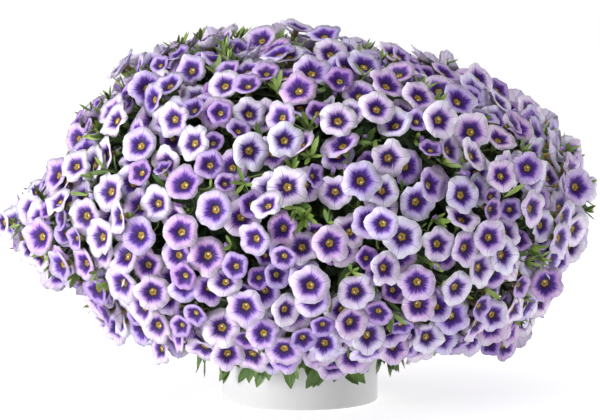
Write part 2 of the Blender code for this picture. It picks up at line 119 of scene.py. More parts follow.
# %% A material under construction
class Finish:
    """A Principled material and its nodes."""

    def __init__(self, name, roughness=0.5, **constants):
        self.material = bpy.data.materials.new(name)
        self.material.use_nodes = True
        self.tree = self.material.node_tree
        self.shader = self.tree.nodes["Principled BSDF"]
        self.set(Roughness=roughness, **constants)

    def feed(self, socket, value):
        """Links a value or a socket, or sets a constant."""
        value = getattr(value, "socket", value)
        if isinstance(value, bpy.types.NodeSocket):
            self.tree.links.new(value, socket)
        else:
            socket.default_value = value

    def set(self, **sockets):
        for name, value in sockets.items():
            self.feed(self.shader.inputs[name.replace("_", " ")], value)

    def node(self, kind, settings=None, values=None):
        made = self.tree.nodes.new("ShaderNode" + kind)
        for name, value in (settings or {}).items():
            setattr(made, name, value)
        for name, value in (values or {}).items():
            self.feed(made.inputs[name], value)
        return made

    def math(self, operation, *terms):
        made = self.node("Math", {"operation": operation}, dict(enumerate(terms)))
        return Value(self, made.outputs[0])

    def mix(self, share, first, second):
        """The first colour where share is 0, and the second where it is 1."""
        first, second = ((*c, 1.0) if isinstance(c, tuple) else c for c in (first, second))
        made = self.node("Mix", {"data_type": "RGBA"}, {0: share, 6: first, 7: second})
        return made.outputs[2]

    def parts(self, vector):
        """A vector's three numbers."""
        split = self.node("SeparateXYZ", values={"Vector": vector})
        return [Value(self, output) for output in split.outputs]

    def vector(self, x=0.0, y=0.0, z=0.0):
        return self.node("CombineXYZ", values={"X": x, "Y": y, "Z": z}).outputs[0]

    def place(self):
        """The point's place on the object, in metres."""
        return self.node("TexCoord").outputs["Object"]

    def petal_map(self):
        """The two coordinates of the unrolled petal or leaf."""
        return self.parts(self.node("UVMap", {"uv_map": "petal"}).outputs["UV"])[:2]

    def tint(self):
        """What each copy was given: three numbers from 0 to 1."""
        return self.parts(self.node("Attribute", {"attribute_name": "tint"}).outputs["Vector"])

    def noise(self, vector, scale, detail=2.0):
        made = self.node("TexNoise", {}, {"Vector": vector, "Scale": scale, "Detail": detail})
        return Value(self, made.outputs["Fac"])

    def bump(self, height, distance, strength=1.0):
        made = self.node("Bump", {}, {"Height": height, "Distance": distance, "Strength": strength})
        self.set(Normal=made.outputs["Normal"])


print("the finish builder is ready")

# %% [markdown]
# ## A pale studio
# The real picture has no background at all: the pot fades from white on its left to grey right of
# its middle, with a lighter right edge. A broad low lamp at the left front does that, a weak one
# at the right back gives the edge, and a large pale floor fills the shadows from below. A lamp
# above and a wide sun light the blooms evenly. The sky is seen as white, and lights the plant less
# than it shows, so that the gaps between blooms stay deep.

# %% Floor and sky
FLOOR_SIZE = 120.0
FLOOR_GLOW = 0.68
SKY_LIGHT = 0.27

bpy.ops.object.select_all(action="DESELECT")
bpy.ops.mesh.primitive_plane_add(size=FLOOR_SIZE, location=(0, 0, 0))
floor = bpy.context.object
floor.name = "floor"
WHITE = (1, 1, 1, 1)
pale = Finish("pale floor", 0.9, Emission_Color=WHITE, Emission_Strength=FLOOR_GLOW)
grain = pale.noise(pale.place(), 3.0)
pale.set(Base_Color=pale.mix(grain, (0.86, 0.86, 0.87), (0.88, 0.88, 0.88)))
floor.data.materials.append(pale.material)

world = bpy.data.worlds.new("studio")
scene.world = world
world.use_nodes = True
sky = world.node_tree.nodes["Background"]
sky.inputs["Color"].default_value = WHITE
rays = world.node_tree.nodes.new("ShaderNodeLightPath")
seen = world.node_tree.nodes.new("ShaderNodeMapRange")
seen.inputs["To Min"].default_value = SKY_LIGHT
world.node_tree.links.new(rays.outputs["Is Camera Ray"], seen.inputs["Value"])
world.node_tree.links.new(seen.outputs["Result"], sky.inputs["Strength"])
scene.view_settings.view_transform = "Standard"


# %% Lamps
def lamp(name, place, aim_at, size, power):
    """A square soft lamp."""
    light = bpy.data.lights.new(name, "AREA")
    light.size = size
    light.energy = power
    made = bpy.data.objects.new(name, light)
    made.location = place
    made.rotation_euler = (Vector(aim_at) - Vector(place)).to_track_quat("-Z", "Y").to_euler()
    scene.collection.objects.link(made)


PLANT_MIDDLE = (0, 0, 0.15)
POT_MIDDLE = (0, 0, 0.05)
EVEN_LIGHT = 0.75
EVEN_LIGHT_SPREAD = math.radians(60)
EVEN_LIGHT_TILT = (math.radians(28), math.radians(-16), 0)
lamp("low left lamp", (-1.6, -0.9, 0.20), POT_MIDDLE, size=0.7, power=32)
lamp("top lamp", (-0.7, -0.9, 2.1), PLANT_MIDDLE, size=1.0, power=24)
lamp("edge lamp", (1.7, 0.6, 0.3), POT_MIDDLE, size=0.5, power=9)

sun = bpy.data.objects.new("even light", bpy.data.lights.new("even light", "SUN"))
sun.data.energy = EVEN_LIGHT
sun.data.angle = EVEN_LIGHT_SPREAD
sun.rotation_euler = EVEN_LIGHT_TILT
scene.collection.objects.link(sun)

# %% [markdown]
# ## Small helpers for modelling
# Pieces are shaped in edit mode, where an operator acts on all that is selected. So each step first
# picks its points in code, by their place or their number.


# %% Picking points
def start():
    """Drops the selection, so that the next primitive is alone in it."""
    if bpy.context.mode != "OBJECT":
        bpy.ops.object.mode_set(mode="OBJECT")
    bpy.ops.object.select_all(action="DESELECT")


def open_new(name):
    """Names the primitive that was just added, and opens it for editing."""
    made = bpy.context.object
    made.name = name
    bpy.ops.object.mode_set(mode="EDIT")
    return made


def pick(test, kind="verts"):
    """Selects the points, edges or faces that pass a test, and nothing else."""
    mesh = bmesh.from_edit_mesh(bpy.context.object.data)
    bpy.ops.mesh.select_mode(type={"verts": "VERT", "edges": "EDGE", "faces": "FACE"}[kind])
    for item in [*mesh.faces, *mesh.edges, *mesh.verts]:
        item.select_set(False)
    for item in getattr(mesh, kind):
        if test(item):
            item.select_set(True)
    mesh.select_flush(True)
    bmesh.update_edit_mesh(bpy.context.object.data)


def open_cylinder(name, sides, radius, low, high):
    """A cylinder between two heights, open for editing, with its top face picked."""
    start()
    bpy.ops.mesh.primitive_cylinder_add(vertices=sides, radius=radius, depth=high - low)
    made = open_new(name)
    bpy.ops.transform.translate(value=(0, 0, (high + low) / 2))
    pick(lambda face: face.normal.z > 0.9, "faces")
    return made


def wear(piece, finish, slot, *nodes):
    """Gives a finished piece its finish, puts it on the root body and hides the CAD nodes that
    it stands for.
    """
    piece.data.materials.clear()
    piece.data.materials.append(finish.material)
    adopt(piece, slot, *nodes)


def adopt(piece, slot, *nodes):
    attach(piece, "root")
    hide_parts(*nodes)


print("helpers ready")

# %% [markdown]
# ## The pot
# A plain slip-cast cylinder with a white satin glaze, an even wall, a soft lip and four drainage
# holes. It could be spun from a profile, but a cylinder whose top is inset and pushed down is
# quicker, and its sharp rings are then bevelled. The drainage holes are cut last.

# %% Pot sizes
pot_low, pot_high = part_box("pot")
POT_HEIGHT = pot_high.z - pot_low.z
POT_RADIUS = 0.0675
POT_WALL = 0.0042
POT_FLOOR = 0.006
POT_SIDES = 160
LIP_ROUND = 0.0016
FOOT_ROUND = 0.0022
FOOT_WIDTH = 2.4 * FOOT_ROUND
FOOT_RECESS = 0.0008
INSIDE_ROUND = 0.004
DRAIN_COUNT = 4
DRAIN_RADIUS = 0.0045
DRAIN_CIRCLE = 0.036
RING_SLACK = 1e-4
print("pot", round(1000 * POT_HEIGHT), "mm high")


# %% Pot body
def at_ring(edge, height, radius):
    """Whether an edge lies on the level ring of that height and radius."""
    return all(
        abs(v.co.z - height) < RING_SLACK and abs(v.co.xy.length - radius) < RING_SLACK
        for v in edge.verts
    )


def round_off(height, radius, width):
    pick(lambda edge: at_ring(edge, height, radius), "edges")
    bpy.ops.mesh.bevel(offset=width, segments=4, profile=0.5, affect="EDGES")


pot = open_cylinder("glazed_pot", POT_SIDES, POT_RADIUS, 0, POT_HEIGHT)
bpy.ops.mesh.inset(thickness=POT_WALL)
bpy.ops.mesh.extrude_region_move(TRANSFORM_OT_translate={"value": (0, 0, POT_FLOOR - POT_HEIGHT)})
pick(lambda face: face.normal.z < -0.9 and face.calc_center_median().z < RING_SLACK, "faces")
bpy.ops.mesh.inset(thickness=FOOT_WIDTH)
bpy.ops.transform.translate(value=(0, 0, FOOT_RECESS))
inner = POT_RADIUS - POT_WALL
round_off(POT_FLOOR, inner, INSIDE_ROUND)
round_off(POT_HEIGHT, inner, LIP_ROUND / 2)
round_off(POT_HEIGHT, POT_RADIUS, LIP_ROUND)
round_off(0, POT_RADIUS, FOOT_ROUND)
bpy.ops.mesh.select_all(action="SELECT")
bpy.ops.mesh.normals_make_consistent(inside=False)
bpy.ops.object.mode_set(mode="OBJECT")
print("pot body", len(pot.data.polygons), "faces")

# %% Drainage holes
for k in range(DRAIN_COUNT):
    turn = math.tau * (k + 0.5) / DRAIN_COUNT
    start()
    place = (DRAIN_CIRCLE * math.cos(turn), DRAIN_CIRCLE * math.sin(turn), POT_FLOOR / 2)
    bpy.ops.mesh.primitive_cylinder_add(
        vertices=24, radius=DRAIN_RADIUS, depth=3 * POT_FLOOR, location=place
    )
    drill = bpy.context.object
    bpy.context.view_layer.objects.active = pot
    hole = pot.modifiers.new("drain", "BOOLEAN")
    hole.object = drill
    hole.solver = "EXACT"
    bpy.ops.object.modifier_apply(modifier=hole.name)
    bpy.data.objects.remove(drill)
start()
pot.select_set(True)
bpy.context.view_layer.objects.active = pot
bpy.ops.object.shade_smooth_by_angle(angle=math.radians(35))
print("pot with holes", len(pot.data.polygons), "faces")

# %% [markdown]
# ## White glaze
# Glaze pools a little thicker low down and thins on the lip, and a fired white is never quite even.
# Soft noise moves the white by a trace, a fine bump keeps the highlight from being perfect, and the
# lip shows the warmer clay through it.

# %% Glaze
LIP_BAND = 0.0022
glaze = Finish("white satin glaze", roughness=0.34)
_, _, z = glaze.parts(glaze.place())
cloud = glaze.noise(glaze.place(), 22.0, 3.0)
speck = glaze.noise(glaze.place(), 420.0, 1.0)
specks = ((speck - 0.70) * 18).clamped()
lip = ((z - (POT_HEIGHT - LIP_BAND)) * 600).clamped()
white = glaze.mix(cloud, (0.62, 0.62, 0.625), (0.67, 0.67, 0.67))
white = glaze.mix(lip * 0.5, white, (0.70, 0.67, 0.62))
white = glaze.mix(specks * 0.25, white, (0.52, 0.50, 0.47))
glaze.set(Base_Color=white, Roughness=0.30 + 0.10 * cloud)
glaze.set(Coat_Weight=0.25)
glaze.bump(cloud + 0.15 * speck, 0.00025)
wear(pot, glaze, "white_glaze", "pot")
print("glaze on", pot.name)

# %% [markdown]
# ## The compost
# Peat and bark, settled a finger's width under the lip. It could be strewn with crumbs, but the
# foliage hides it from nearly everywhere, so it is a plug whose top is inset again and again and
# then pushed up and down by noise. Its crumbs are left to the finish.

# %% Compost surface
compost_low, compost_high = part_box("compost")
COMPOST_TOP = compost_high.z
COMPOST_SIDES = 48
COMPOST_GAP = 0.0004
COMPOST_RADIUS = inner - COMPOST_GAP
COMPOST_ROUND = 0.0045
COMPOST_RINGS = 14
LUMP_HEIGHT = 0.0022
LUMPS_PER_METRE = 120
LUMP_RANGE = (-1.2, 0.4)

compost = open_cylinder(
    "crumbly_compost", COMPOST_SIDES, COMPOST_RADIUS, compost_low.z, COMPOST_TOP
)
for _ in range(COMPOST_RINGS):
    bpy.ops.mesh.inset(thickness=COMPOST_RADIUS / (COMPOST_RINGS + 1.5))
pick(lambda edge: at_ring(edge, compost_low.z, COMPOST_RADIUS), "edges")
bpy.ops.mesh.bevel(offset=COMPOST_ROUND, segments=3, affect="EDGES")
for vert in bmesh.from_edit_mesh(compost.data).verts:
    if vert.co.z > COMPOST_TOP - RING_SLACK:
        lump = noise.fractal(vert.co * LUMPS_PER_METRE, 1.0, 2.0, 3) - 0.4
        vert.co.z += LUMP_HEIGHT * max(LUMP_RANGE[0], min(LUMP_RANGE[1], lump))
bpy.ops.object.mode_set(mode="OBJECT")
bpy.ops.object.shade_smooth_by_angle(angle=math.radians(50))
print("compost", len(compost.data.polygons), "faces")

# %% Compost finish
earth = Finish("moist compost", roughness=0.95)
fine = earth.noise(earth.place(), 900.0, 4.0)
coarse = earth.noise(earth.place(), 190.0, 3.0)
brown = earth.mix(coarse, (0.012, 0.008, 0.005), (0.075, 0.045, 0.026))
brown = earth.mix(((fine - 0.62) * 7).clamped() * 0.7, brown, (0.22, 0.15, 0.09))
earth.set(Base_Color=brown, Roughness=0.85 + 0.15 * fine)
earth.bump(fine + coarse, 0.0012)
wear(compost, earth, "moist_compost", "compost")
print("compost finish", earth.material.name)

# %% [markdown]
# ## The mound's form
# The CAD model builds every leafy stem from one rule for the mound's outline, and throws its blooms
# at that outline with a seeded draw. Repeating the same rule and the same draws here puts each
# finer bloom exactly where the CAD model has its plain one.

# %% Directions
UP = Vector((0, 0, 1))


def scatter(draw, spread):
    """A random step, as likely in any direction."""
    return Vector((draw.gauss(0, spread), draw.gauss(0, spread), draw.gauss(0, spread)))


def around(axis, turn):
    """A direction square to an axis, turned about it."""
    side = axis.orthogonal().normalized()
    return side * math.cos(turn) + axis.cross(side) * math.sin(turn)


def bow(first, bend, last, steps):
    """Points along a curve from first to last that is pulled towards bend."""
    shares = [k / (steps - 1) for k in range(steps)]
    return [first * (1 - t) ** 2 + bend * 2 * t * (1 - t) + last * t**2 for t in shares]


print("half way along a bow one metre up:", bow(UP * 0, UP, UP * 0, 3)[1].z, "m")

# %% The outline's sizes
MOUND_CENTRE = Vector((0.0, 0.0, 0.165))
MOUND_HALF_WIDTH = 0.246
MOUND_HALF_DEPTH = 0.222
MOUND_RISE = 0.155
MOUND_DROP = 0.126
UPPER_POWER = 2.05
LOWER_POWER = 2.7
LOWEST_BLOOM_ANGLE = math.radians(-44)
OUTLINE_STEP = 0.02
WIDEST_SHARE = 1.6
# Lumps: azimuth, elevation, half width round and up, in degrees, and height.
LUMPS = (
    (180, 13, 36, 9, -0.036),
    (178, 30, 28, 6, -0.020),
    (180, 42, 16, 8, 0.006),
    (176, 64, 24, 9, 0.006),
    (181, -3, 16, 6, 0.008),
    (181, -19, 36, 9, -0.034),
    (180, -30, 12, 5, 0.004),
    (184, -41, 36, 8, -0.036),
    (0, 8, 20, 12, 0.004),
    (0, 34, 30, 12, -0.014),
    (2, 62, 60, 16, -0.012),
    (0, -14, 30, 9, -0.018),
    (-2, -33, 14, 6, 0.010),
    (-4, -46, 40, 9, -0.020),
    (-90, -30, 22, 22, 0.006),
    (-125, 34, 14, 14, -0.007),
    (-62, 30, 14, 14, 0.006),
    (60, 12, 18, 18, -0.012),
    (95, 30, 16, 16, 0.010),
    (130, -12, 18, 18, 0.010),
)
LUMP_RULES = [(*map(math.radians, angles), height) for *angles, height in LUMPS]


# %% The outline's rule
def mound_radius(way):
    """How far the mound's outline is from its centre, along a unit direction."""
    upper = way.z >= 0
    power = UPPER_POWER if upper else LOWER_POWER
    level = math.hypot(way.x / MOUND_HALF_WIDTH, way.y / MOUND_HALF_DEPTH)
    height = abs(way.z) / (MOUND_RISE if upper else MOUND_DROP)
    radius = (level**power + height**power) ** (-1 / power)
    azimuth = math.atan2(way.y, way.x)
    elevation = math.asin(max(-1.0, min(1.0, way.z)))
    for middle, up, wide, tall, lift in LUMP_RULES:
        round_it = (azimuth - middle + math.pi) % math.tau - math.pi
        across = round_it * math.cos(elevation) / wide
        radius += lift * math.exp(-(across**2) - ((elevation - up) / tall) ** 2)
    return radius


def mound_point(way):
    return MOUND_CENTRE + way * mound_radius(way)


def mound_normal(way):
    """The outline's outward normal, from two short steps along it."""
    side = way.orthogonal().normalized()
    other = way.cross(side)
    steps = [step * OUTLINE_STEP for step in (side, -side, other, -other)]
    here = [mound_point((way + step).normalized()) for step in steps]
    normal = (here[0] - here[1]).cross(here[2] - here[3]).normalized()
    return normal if normal.dot(way) > 0 else -normal


def random_way(draw, lowest=LOWEST_BLOOM_ANGLE):
    """A direction drawn evenly over the mound's own surface, above its open underside."""
    largest = MOUND_HALF_WIDTH**2 * WIDEST_SHARE
    while True:
        way = scatter(draw, 1).normalized()
        if math.asin(way.z) < lowest:
            continue
        share = mound_radius(way) ** 2 / mound_normal(way).dot(way) / largest
        if draw.random() < share:
            return way


print("mound top", round(1000 * mound_point(UP).z), "mm up")

# %% The blooms' places
SEED = 20
BLOOM_COUNT = 322
BLOOM_TRIES = 9000
OPEN_BLOOM = (0.0158, 0.0182)
YOUNG_BLOOM = (0.0110, 0.0138)
YOUNG_SHARE = 0.30
LAYER_DEPTHS = (0.0, 0.006, 0.012, 0.018)
LAYER_HASTE = 2.5
DEPTH_SPREAD = 0.003
BLOOM_SPREAD = math.radians(24)
STEEPEST_TILT = math.radians(38)
TILT_SINK = 0.3
OUTWARD_SHARE = 0.7
ROOT_DROP = 0.012
THROAT_DEPTH = 0.26
NECK_DEPTH = 0.46
TUBE_LENGTH = 0.92
BLOOM_GAP = 0.0014
TEST_RINGS = ((1.0, 0.0), (0.62, 0.12))
TEST_POINTS = 10
TEST_STALK = 5
TEST_COUNT = len(TEST_RINGS) * TEST_POINTS + TEST_STALK


class Bloom:
    """One bloom's place: the middle of its face, the way it looks, its half width and its age."""

    def __init__(self, way, depth, radius, young, draw):
        normal = mound_normal(way)
        outward = way.lerp(normal, 1 - OUTWARD_SHARE).normalized()
        tilt = abs(draw.gauss(0, BLOOM_SPREAD / 2))
        lean = around(outward, draw.uniform(0, math.tau))
        self.way = way
        self.axis = (outward + lean * math.tan(min(tilt, STEEPEST_TILT))).normalized()
        self.radius = radius
        self.young = young
        self.twist = draw.uniform(0, math.tau)
        self.centre = mound_point(way) - normal * (depth + TILT_SINK * radius * math.sin(tilt))
        self.root = self.centre - self.axis * NECK_DEPTH * radius - normal * ROOT_DROP
        self.points = self.sample()

    def sample(self):
        """Points of the rim, of the half-way ring and of the tube, to test crossings with."""
        points = []
        for share, drop in TEST_RINGS:
            for k in range(TEST_POINTS):
                ring = around(self.axis, math.tau * k / TEST_POINTS) * self.radius * share
                points.append(self.centre + ring - self.axis * self.radius * drop)
        neck = self.centre - self.axis * NECK_DEPTH * self.radius
        points += [neck.lerp(self.root, k / (TEST_STALK - 1)) for k in range(TEST_STALK)]
        return points

    def foot(self):
        """The lower end of the tube, where the calyx holds it."""
        return self.centre - self.axis * TUBE_LENGTH * self.radius


print("a bloom is tested at", TEST_COUNT, "points")

# %% Crowding
FACE_SHARE = 0.88
COVER_REACH = 0.036
CURL_ROOM = 0.0035


class Crowd:
    """All the blooms so far, also as arrays, to test a new one or a leaf against."""

    def __init__(self):
        self.blooms = []
        self.centres, self.axes = np.zeros((2, 0, 3))
        self.radii = np.zeros(0)
        self.points = np.zeros((0, TEST_COUNT, 3))

    def add(self, bloom):
        self.blooms.append(bloom)
        self.centres = np.vstack([self.centres, bloom.centre])
        self.axes = np.vstack([self.axes, bloom.axis])
        self.radii = np.append(self.radii, bloom.radius)
        self.points = np.concatenate([self.points, [bloom.points]])

    @staticmethod
    def inside(offsets, axes, radii, above, below, aside=0.0):
        """Which offsets from a bloom's middle lie in its dish, or this close to it."""
        heights = (offsets * axes).sum(-1)
        across = np.linalg.norm(offsets - heights[..., None] * axes, axis=-1)
        inward = 1 - np.minimum(across / radii, 1)
        back = -NECK_DEPTH * radii * inward - below
        front = -THROAT_DEPTH * radii * inward + above
        return (across < radii + aside) & (heights > back) & (heights < front)

    def near(self, place, reach):
        return np.flatnonzero(np.linalg.norm(self.centres - place, axis=1) < reach)

    def neighbours(self, bloom):
        return self.near(bloom.centre, bloom.radius + self.radii.max(initial=0) + 2 * ROOT_DROP)

    def crossed_by(self, bloom, gap, aside=0.0, press=1.0):
        """Whether a bloom and one of the others have a point in each other's dish. A press under 1
        makes all of them narrower for the test."""
        near = self.neighbours(bloom)
        mine = np.array(bloom.points)[:, None] - self.centres[near]
        theirs = self.points[near] - np.array(bloom.centre)
        room = gap, gap, aside
        return (
            self.inside(mine, self.axes[near], self.radii[near] * press, *room).any()
            or self.inside(theirs, np.array(bloom.axis), bloom.radius * press, *room).any()
        )

    def faces_cross(self, bloom):
        """Whether a bloom's face cuts one of the others, with every face taken as a flat disc. Two
        discs cross where both have a chord on the line that their planes share, and these meet."""
        near = self.neighbours(bloom)
        axis, axes = np.array(bloom.axis), self.axes[near]
        offsets = self.centres[near] - np.array(bloom.centre)
        line = np.cross(axes, axis)
        sine = np.linalg.norm(line, axis=1) + 1e-9
        mine = (bloom.radius * FACE_SHARE) ** 2 - ((offsets * axes).sum(1) / sine) ** 2
        theirs = (self.radii[near] * FACE_SHARE) ** 2 - (offsets @ axis / sine) ** 2
        chords = np.sqrt(np.maximum(mine, 0)) + np.sqrt(np.maximum(theirs, 0))
        apart = np.abs((offsets * line).sum(1)) / sine
        return ((mine > 0) & (theirs > 0) & (apart < chords)).any()

    def hidden_by(self, points, above):
        """Whether any of these points lies in a bloom's dish, less than above in front of it, or
        so close behind it that a curled petal could reach it."""
        near = self.near(points.mean(0), COVER_REACH)
        offsets = points[:, None] - self.centres[near]
        return self.inside(offsets, self.axes[near], self.radii[near], above, CURL_ROOM).any()


def place_blooms():
    """The CAD model's own draw: blooms thrown at the mound, kept where they cross none."""
    draw = random.Random(SEED)
    crowd = Crowd()
    for trial in range(BLOOM_TRIES):
        if len(crowd.blooms) == BLOOM_COUNT:
            break
        way = random_way(draw)
        young = draw.random() < YOUNG_SHARE
        radius = draw.uniform(*(YOUNG_BLOOM if young else OPEN_BLOOM))
        layer = int(len(LAYER_DEPTHS) * LAYER_HASTE * trial / BLOOM_TRIES)
        layer_depth = LAYER_DEPTHS[min(layer, len(LAYER_DEPTHS) - 1)]
        depth = layer_depth + draw.uniform(-DEPTH_SPREAD, DEPTH_SPREAD)
        bloom = Bloom(way, depth, radius, young, draw)
        if not crowd.crossed_by(bloom, BLOOM_GAP, BLOOM_GAP):
            crowd.add(bloom)
    return crowd.blooms


cad_blooms = place_blooms()
print("blooms at the CAD model's places", len(cad_blooms))

# %% [markdown]
# ## More blooms between them
# The real plant has more than three times as many blooms as a light CAD model can carry, and they
# press against each other in several layers. More are thrown at the mound here, each a little
# smaller, and one is kept where it crosses no bloom that is already there. They may press closer
# than the CAD model's own, so a second test keeps their flat faces from cutting each other.

# %% More blooms
TRUE_SHARE = 0.93
MORE_TRIES = 7600
MORE_OPEN = (0.0136, 0.0166)
MORE_YOUNG = (0.0088, 0.0122)
MORE_YOUNG_SHARE = 0.08
DEEPEST_BLOOM = 0.014
PRESS = 0.97
SKIN_ROOM = 0.0005
SINK_HASTE = 1.3
POT_ROOM = 0.004
OUTLIER_SHARE = 0.12
OUTLIER_REACH = 0.008
LOWEST_MORE_ANGLE = math.radians(-48)
LOWEST_FACE = -0.12
SIDE_LEAN = 0.55
LOOSE = 0.34


def turn_to_light(bloom, draw):
    """Low blooms lift their faces, and those at the sides look partly to the front or the back."""
    axis = bloom.axis + scatter(draw, LOOSE)
    axis.y += SIDE_LEAN * abs(bloom.way.x) * (-1 if bloom.way.y < 0 else 1)
    axis.normalize()
    axis.z = max(axis.z, LOWEST_FACE)
    bloom.axis = axis.normalized()
    bloom.root = bloom.centre - bloom.axis * (NECK_DEPTH * bloom.radius + ROOT_DROP)
    bloom.points = bloom.sample()


crowd = Crowd()
for bloom in cad_blooms:
    bloom.radius *= TRUE_SHARE
    bloom.points = bloom.sample()
    crowd.add(bloom)

draw = random.Random(SEED + 5)
for trial in range(MORE_TRIES):
    young = draw.random() < MORE_YOUNG_SHARE
    radius = draw.uniform(*(MORE_YOUNG if young else MORE_OPEN))
    sink = min(1.0, SINK_HASTE * trial / MORE_TRIES)
    depth = DEEPEST_BLOOM * sink + draw.uniform(-DEPTH_SPREAD, DEPTH_SPREAD)
    if draw.random() < OUTLIER_SHARE:
        depth = -draw.uniform(0, OUTLIER_REACH)
    bloom = Bloom(random_way(draw, LOWEST_MORE_ANGLE), depth, radius, young, draw)
    turn_to_light(bloom, draw)
    in_pot = bloom.root.xy.length < POT_RADIUS + POT_ROOM and bloom.root.z < POT_HEIGHT
    if in_pot or crowd.faces_cross(bloom) or crowd.crossed_by(bloom, SKIN_ROOM, press=PRESS):
        continue
    crowd.add(bloom)
blooms = crowd.blooms
print("blooms in all", len(blooms), "of them young", sum(b.young for b in blooms))

# %% The stems' places
STEM_COUNT = 38
STEM_SAMPLES = 2600
LOWEST_STEM_SHARE = 0.72
CLUMP_DEPTH = 0.030
CLUMP_TURN = 0.5
CLUMP_TAPER = 0.36
CROWN_HEIGHT = POT_HEIGHT + 0.05
HOLE_RING = 0.043
HOLE_DEPTH = 0.022
HOLE_ROOM = 0.003
STEM_RADIUS = 0.0017
STEM_LEANS = (0.34, 0.22, 0.46, 0.12, 0.58, 0.04)
STEM_STEPS = 4
STEM_RISE = 0.004
STEM_ARCH = 0.030
STEM_FLARE = 1.15
TWIG_SPOTS = 12


def stem_ways():
    """Evenly spread directions for the stems' heads, each the furthest from those before it."""
    draw = random.Random(SEED + 1)
    samples = []
    while len(samples) < STEM_SAMPLES:
        way = random_way(draw)
        if math.asin(way.z) > LOWEST_BLOOM_ANGLE * LOWEST_STEM_SHARE:
            samples.append(way)
    points = [mound_point(way) for way in samples]
    chosen = [max(range(STEM_SAMPLES), key=lambda k: points[k].z)]
    nearest = [(point - points[chosen[0]]).length for point in points]
    while len(chosen) < STEM_COUNT:
        loneliest = max(range(STEM_SAMPLES), key=lambda k: nearest[k])
        chosen.append(loneliest)
        nearest = [min(d, (point - points[loneliest]).length) for d, point in zip(nearest, points)]
    return [samples[k] for k in chosen]


class Stem:
    """One leafy stem: its head's direction, its route, and what grows on it."""

    def __init__(self, number, way):
        self.number = number
        self.node = f"leafy_stem_{number:02d}"
        self.way = way
        self.normal = mound_normal(way).lerp(way, CLUMP_TURN).normalized()
        self.middle = mound_point(way) - self.normal * CLUMP_DEPTH
        self.joint = self.middle.lerp(Vector((0, 0, CROWN_HEIGHT)), CLUMP_TAPER)
        self.route = self.nearest_route()
        self.twigs = []
        self.leaves = []
        self.blooms = []
        self.buds = []
        self.stalks = []

    def hole(self):
        """The stem's place in the compost: trailing stems near the wall, upright ones inside."""
        level = Vector((self.way.x, self.way.y, 0))
        span = math.pi / 2 - LOWEST_BLOOM_ANGLE
        down = 1 - (math.asin(self.way.z) - LOWEST_BLOOM_ANGLE) / span
        return level.normalized() * (HOLE_RING * math.sqrt(down)) if level.length > 1e-6 else level

    def route_with(self, lean):
        """From its hole, up over the pot's edge, and out to the twigs."""
        hole = self.hole()
        rise = Vector((hole.x, hole.y, COMPOST_TOP + STEM_RISE))
        top = rise.z + max(STEM_ARCH, (self.joint.z - rise.z) / 2)
        over = Vector((hole.x * STEM_FLARE, hole.y * STEM_FLARE, top))
        bend = over.lerp(Vector((self.joint.x, self.joint.y, top)), lean)
        foot = Vector((hole.x, hole.y, COMPOST_TOP - HOLE_DEPTH + HOLE_ROOM))
        return [foot, *bow(rise, bend, self.joint, STEM_STEPS)]

    def nearest_route(self):
        """The CAD model gave each stem the first lean that cleared its neighbours. Its own mesh
        tells which: the right route's corners lie on it."""
        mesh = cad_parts[self.node].data
        points = np.array([v.co for v in mesh.vertices])

        def miss(lean):
            route = self.route_with(lean)
            corners = [route[2], route[3]]
            return sum(np.linalg.norm(points - np.array(c), axis=1).min() for c in corners)

        return self.route_with(min(STEM_LEANS, key=miss))

    def spot_near(self, place, first):
        """The spot on its twigs that is nearest to a place. Each twig has twelve and its foot, and
        those before the first are left out."""
        marks = range(first, TWIG_SPOTS + 1)
        spots = [twig.at(k / TWIG_SPOTS)[0] for twig in self.twigs for k in marks]
        return min(spots, key=lambda spot: (spot - place).length)


stems = [Stem(number, way) for number, way in enumerate(stem_ways(), 1)]


def home_of(way):
    """The stem whose head looks most nearly that way."""
    return max(stems, key=lambda stem: stem.way.dot(way))


for bloom in blooms:
    home_of(bloom.way).blooms.append(bloom)
print("stems", len(stems), "with", [len(stem.blooms) for stem in stems], "blooms")

# %% [markdown]
# ## One bloom
# A calibrachoa bloom is a narrow tube that opens into a flat face of five joined lobes, with a
# shallow notch between each. It could be sculpted petal by petal, but it is one skin: rings laid
# from the bottom of the throat out to the rim, and back down behind the face to the tube's foot.
# A shape that is copied a thousand times has to stay light, so the rings have twenty sides only
# where the petals are wide and five down in the tube, and the bridge operator sews the two kinds
# together.


# %% A skin over rings
def skin_over(name, rings):
    """A closed skin over (sides, radius, height) rings laid one after another. It returns the
    object and each point's ring number."""
    start()
    bpy.ops.mesh.primitive_circle_add(vertices=3, radius=1, location=(0, 0, 0))
    skin = open_new(name)
    bpy.ops.mesh.delete(type="VERT")
    for sides, radius, height in rings:
        bpy.ops.mesh.primitive_circle_add(vertices=sides, radius=radius, location=(0, 0, height))
    ring_of = [k for k, ring in enumerate(rings) for _ in range(ring[0])]
    for k in range(len(rings) - 1):
        pick(lambda vert: vert.index < len(ring_of) and ring_of[vert.index] in (k, k + 1))
        bpy.ops.mesh.bridge_edge_loops()
    for end in (0, len(rings) - 1):
        pick(lambda vert: vert.index < len(ring_of) and ring_of[vert.index] == end)
        bpy.ops.mesh.edge_face_add()
        bpy.ops.mesh.poke()
        ring_of.append(end)
    bpy.ops.mesh.select_all(action="SELECT")
    bpy.ops.transform.rotate(value=math.pi / 2, orient_axis="Z", center_override=(0, 0, 0))
    bpy.ops.mesh.normals_make_consistent(inside=False)
    bpy.ops.object.mode_set(mode="OBJECT")
    bpy.ops.object.shade_smooth()
    return skin, ring_of


print("rings can be sewn into a skin")

# %% Petal maps
FACE_MAP = (0.25, 0.5)
BACK_MAP = (0.75, 0.5)
MAP_RADIUS = 0.24


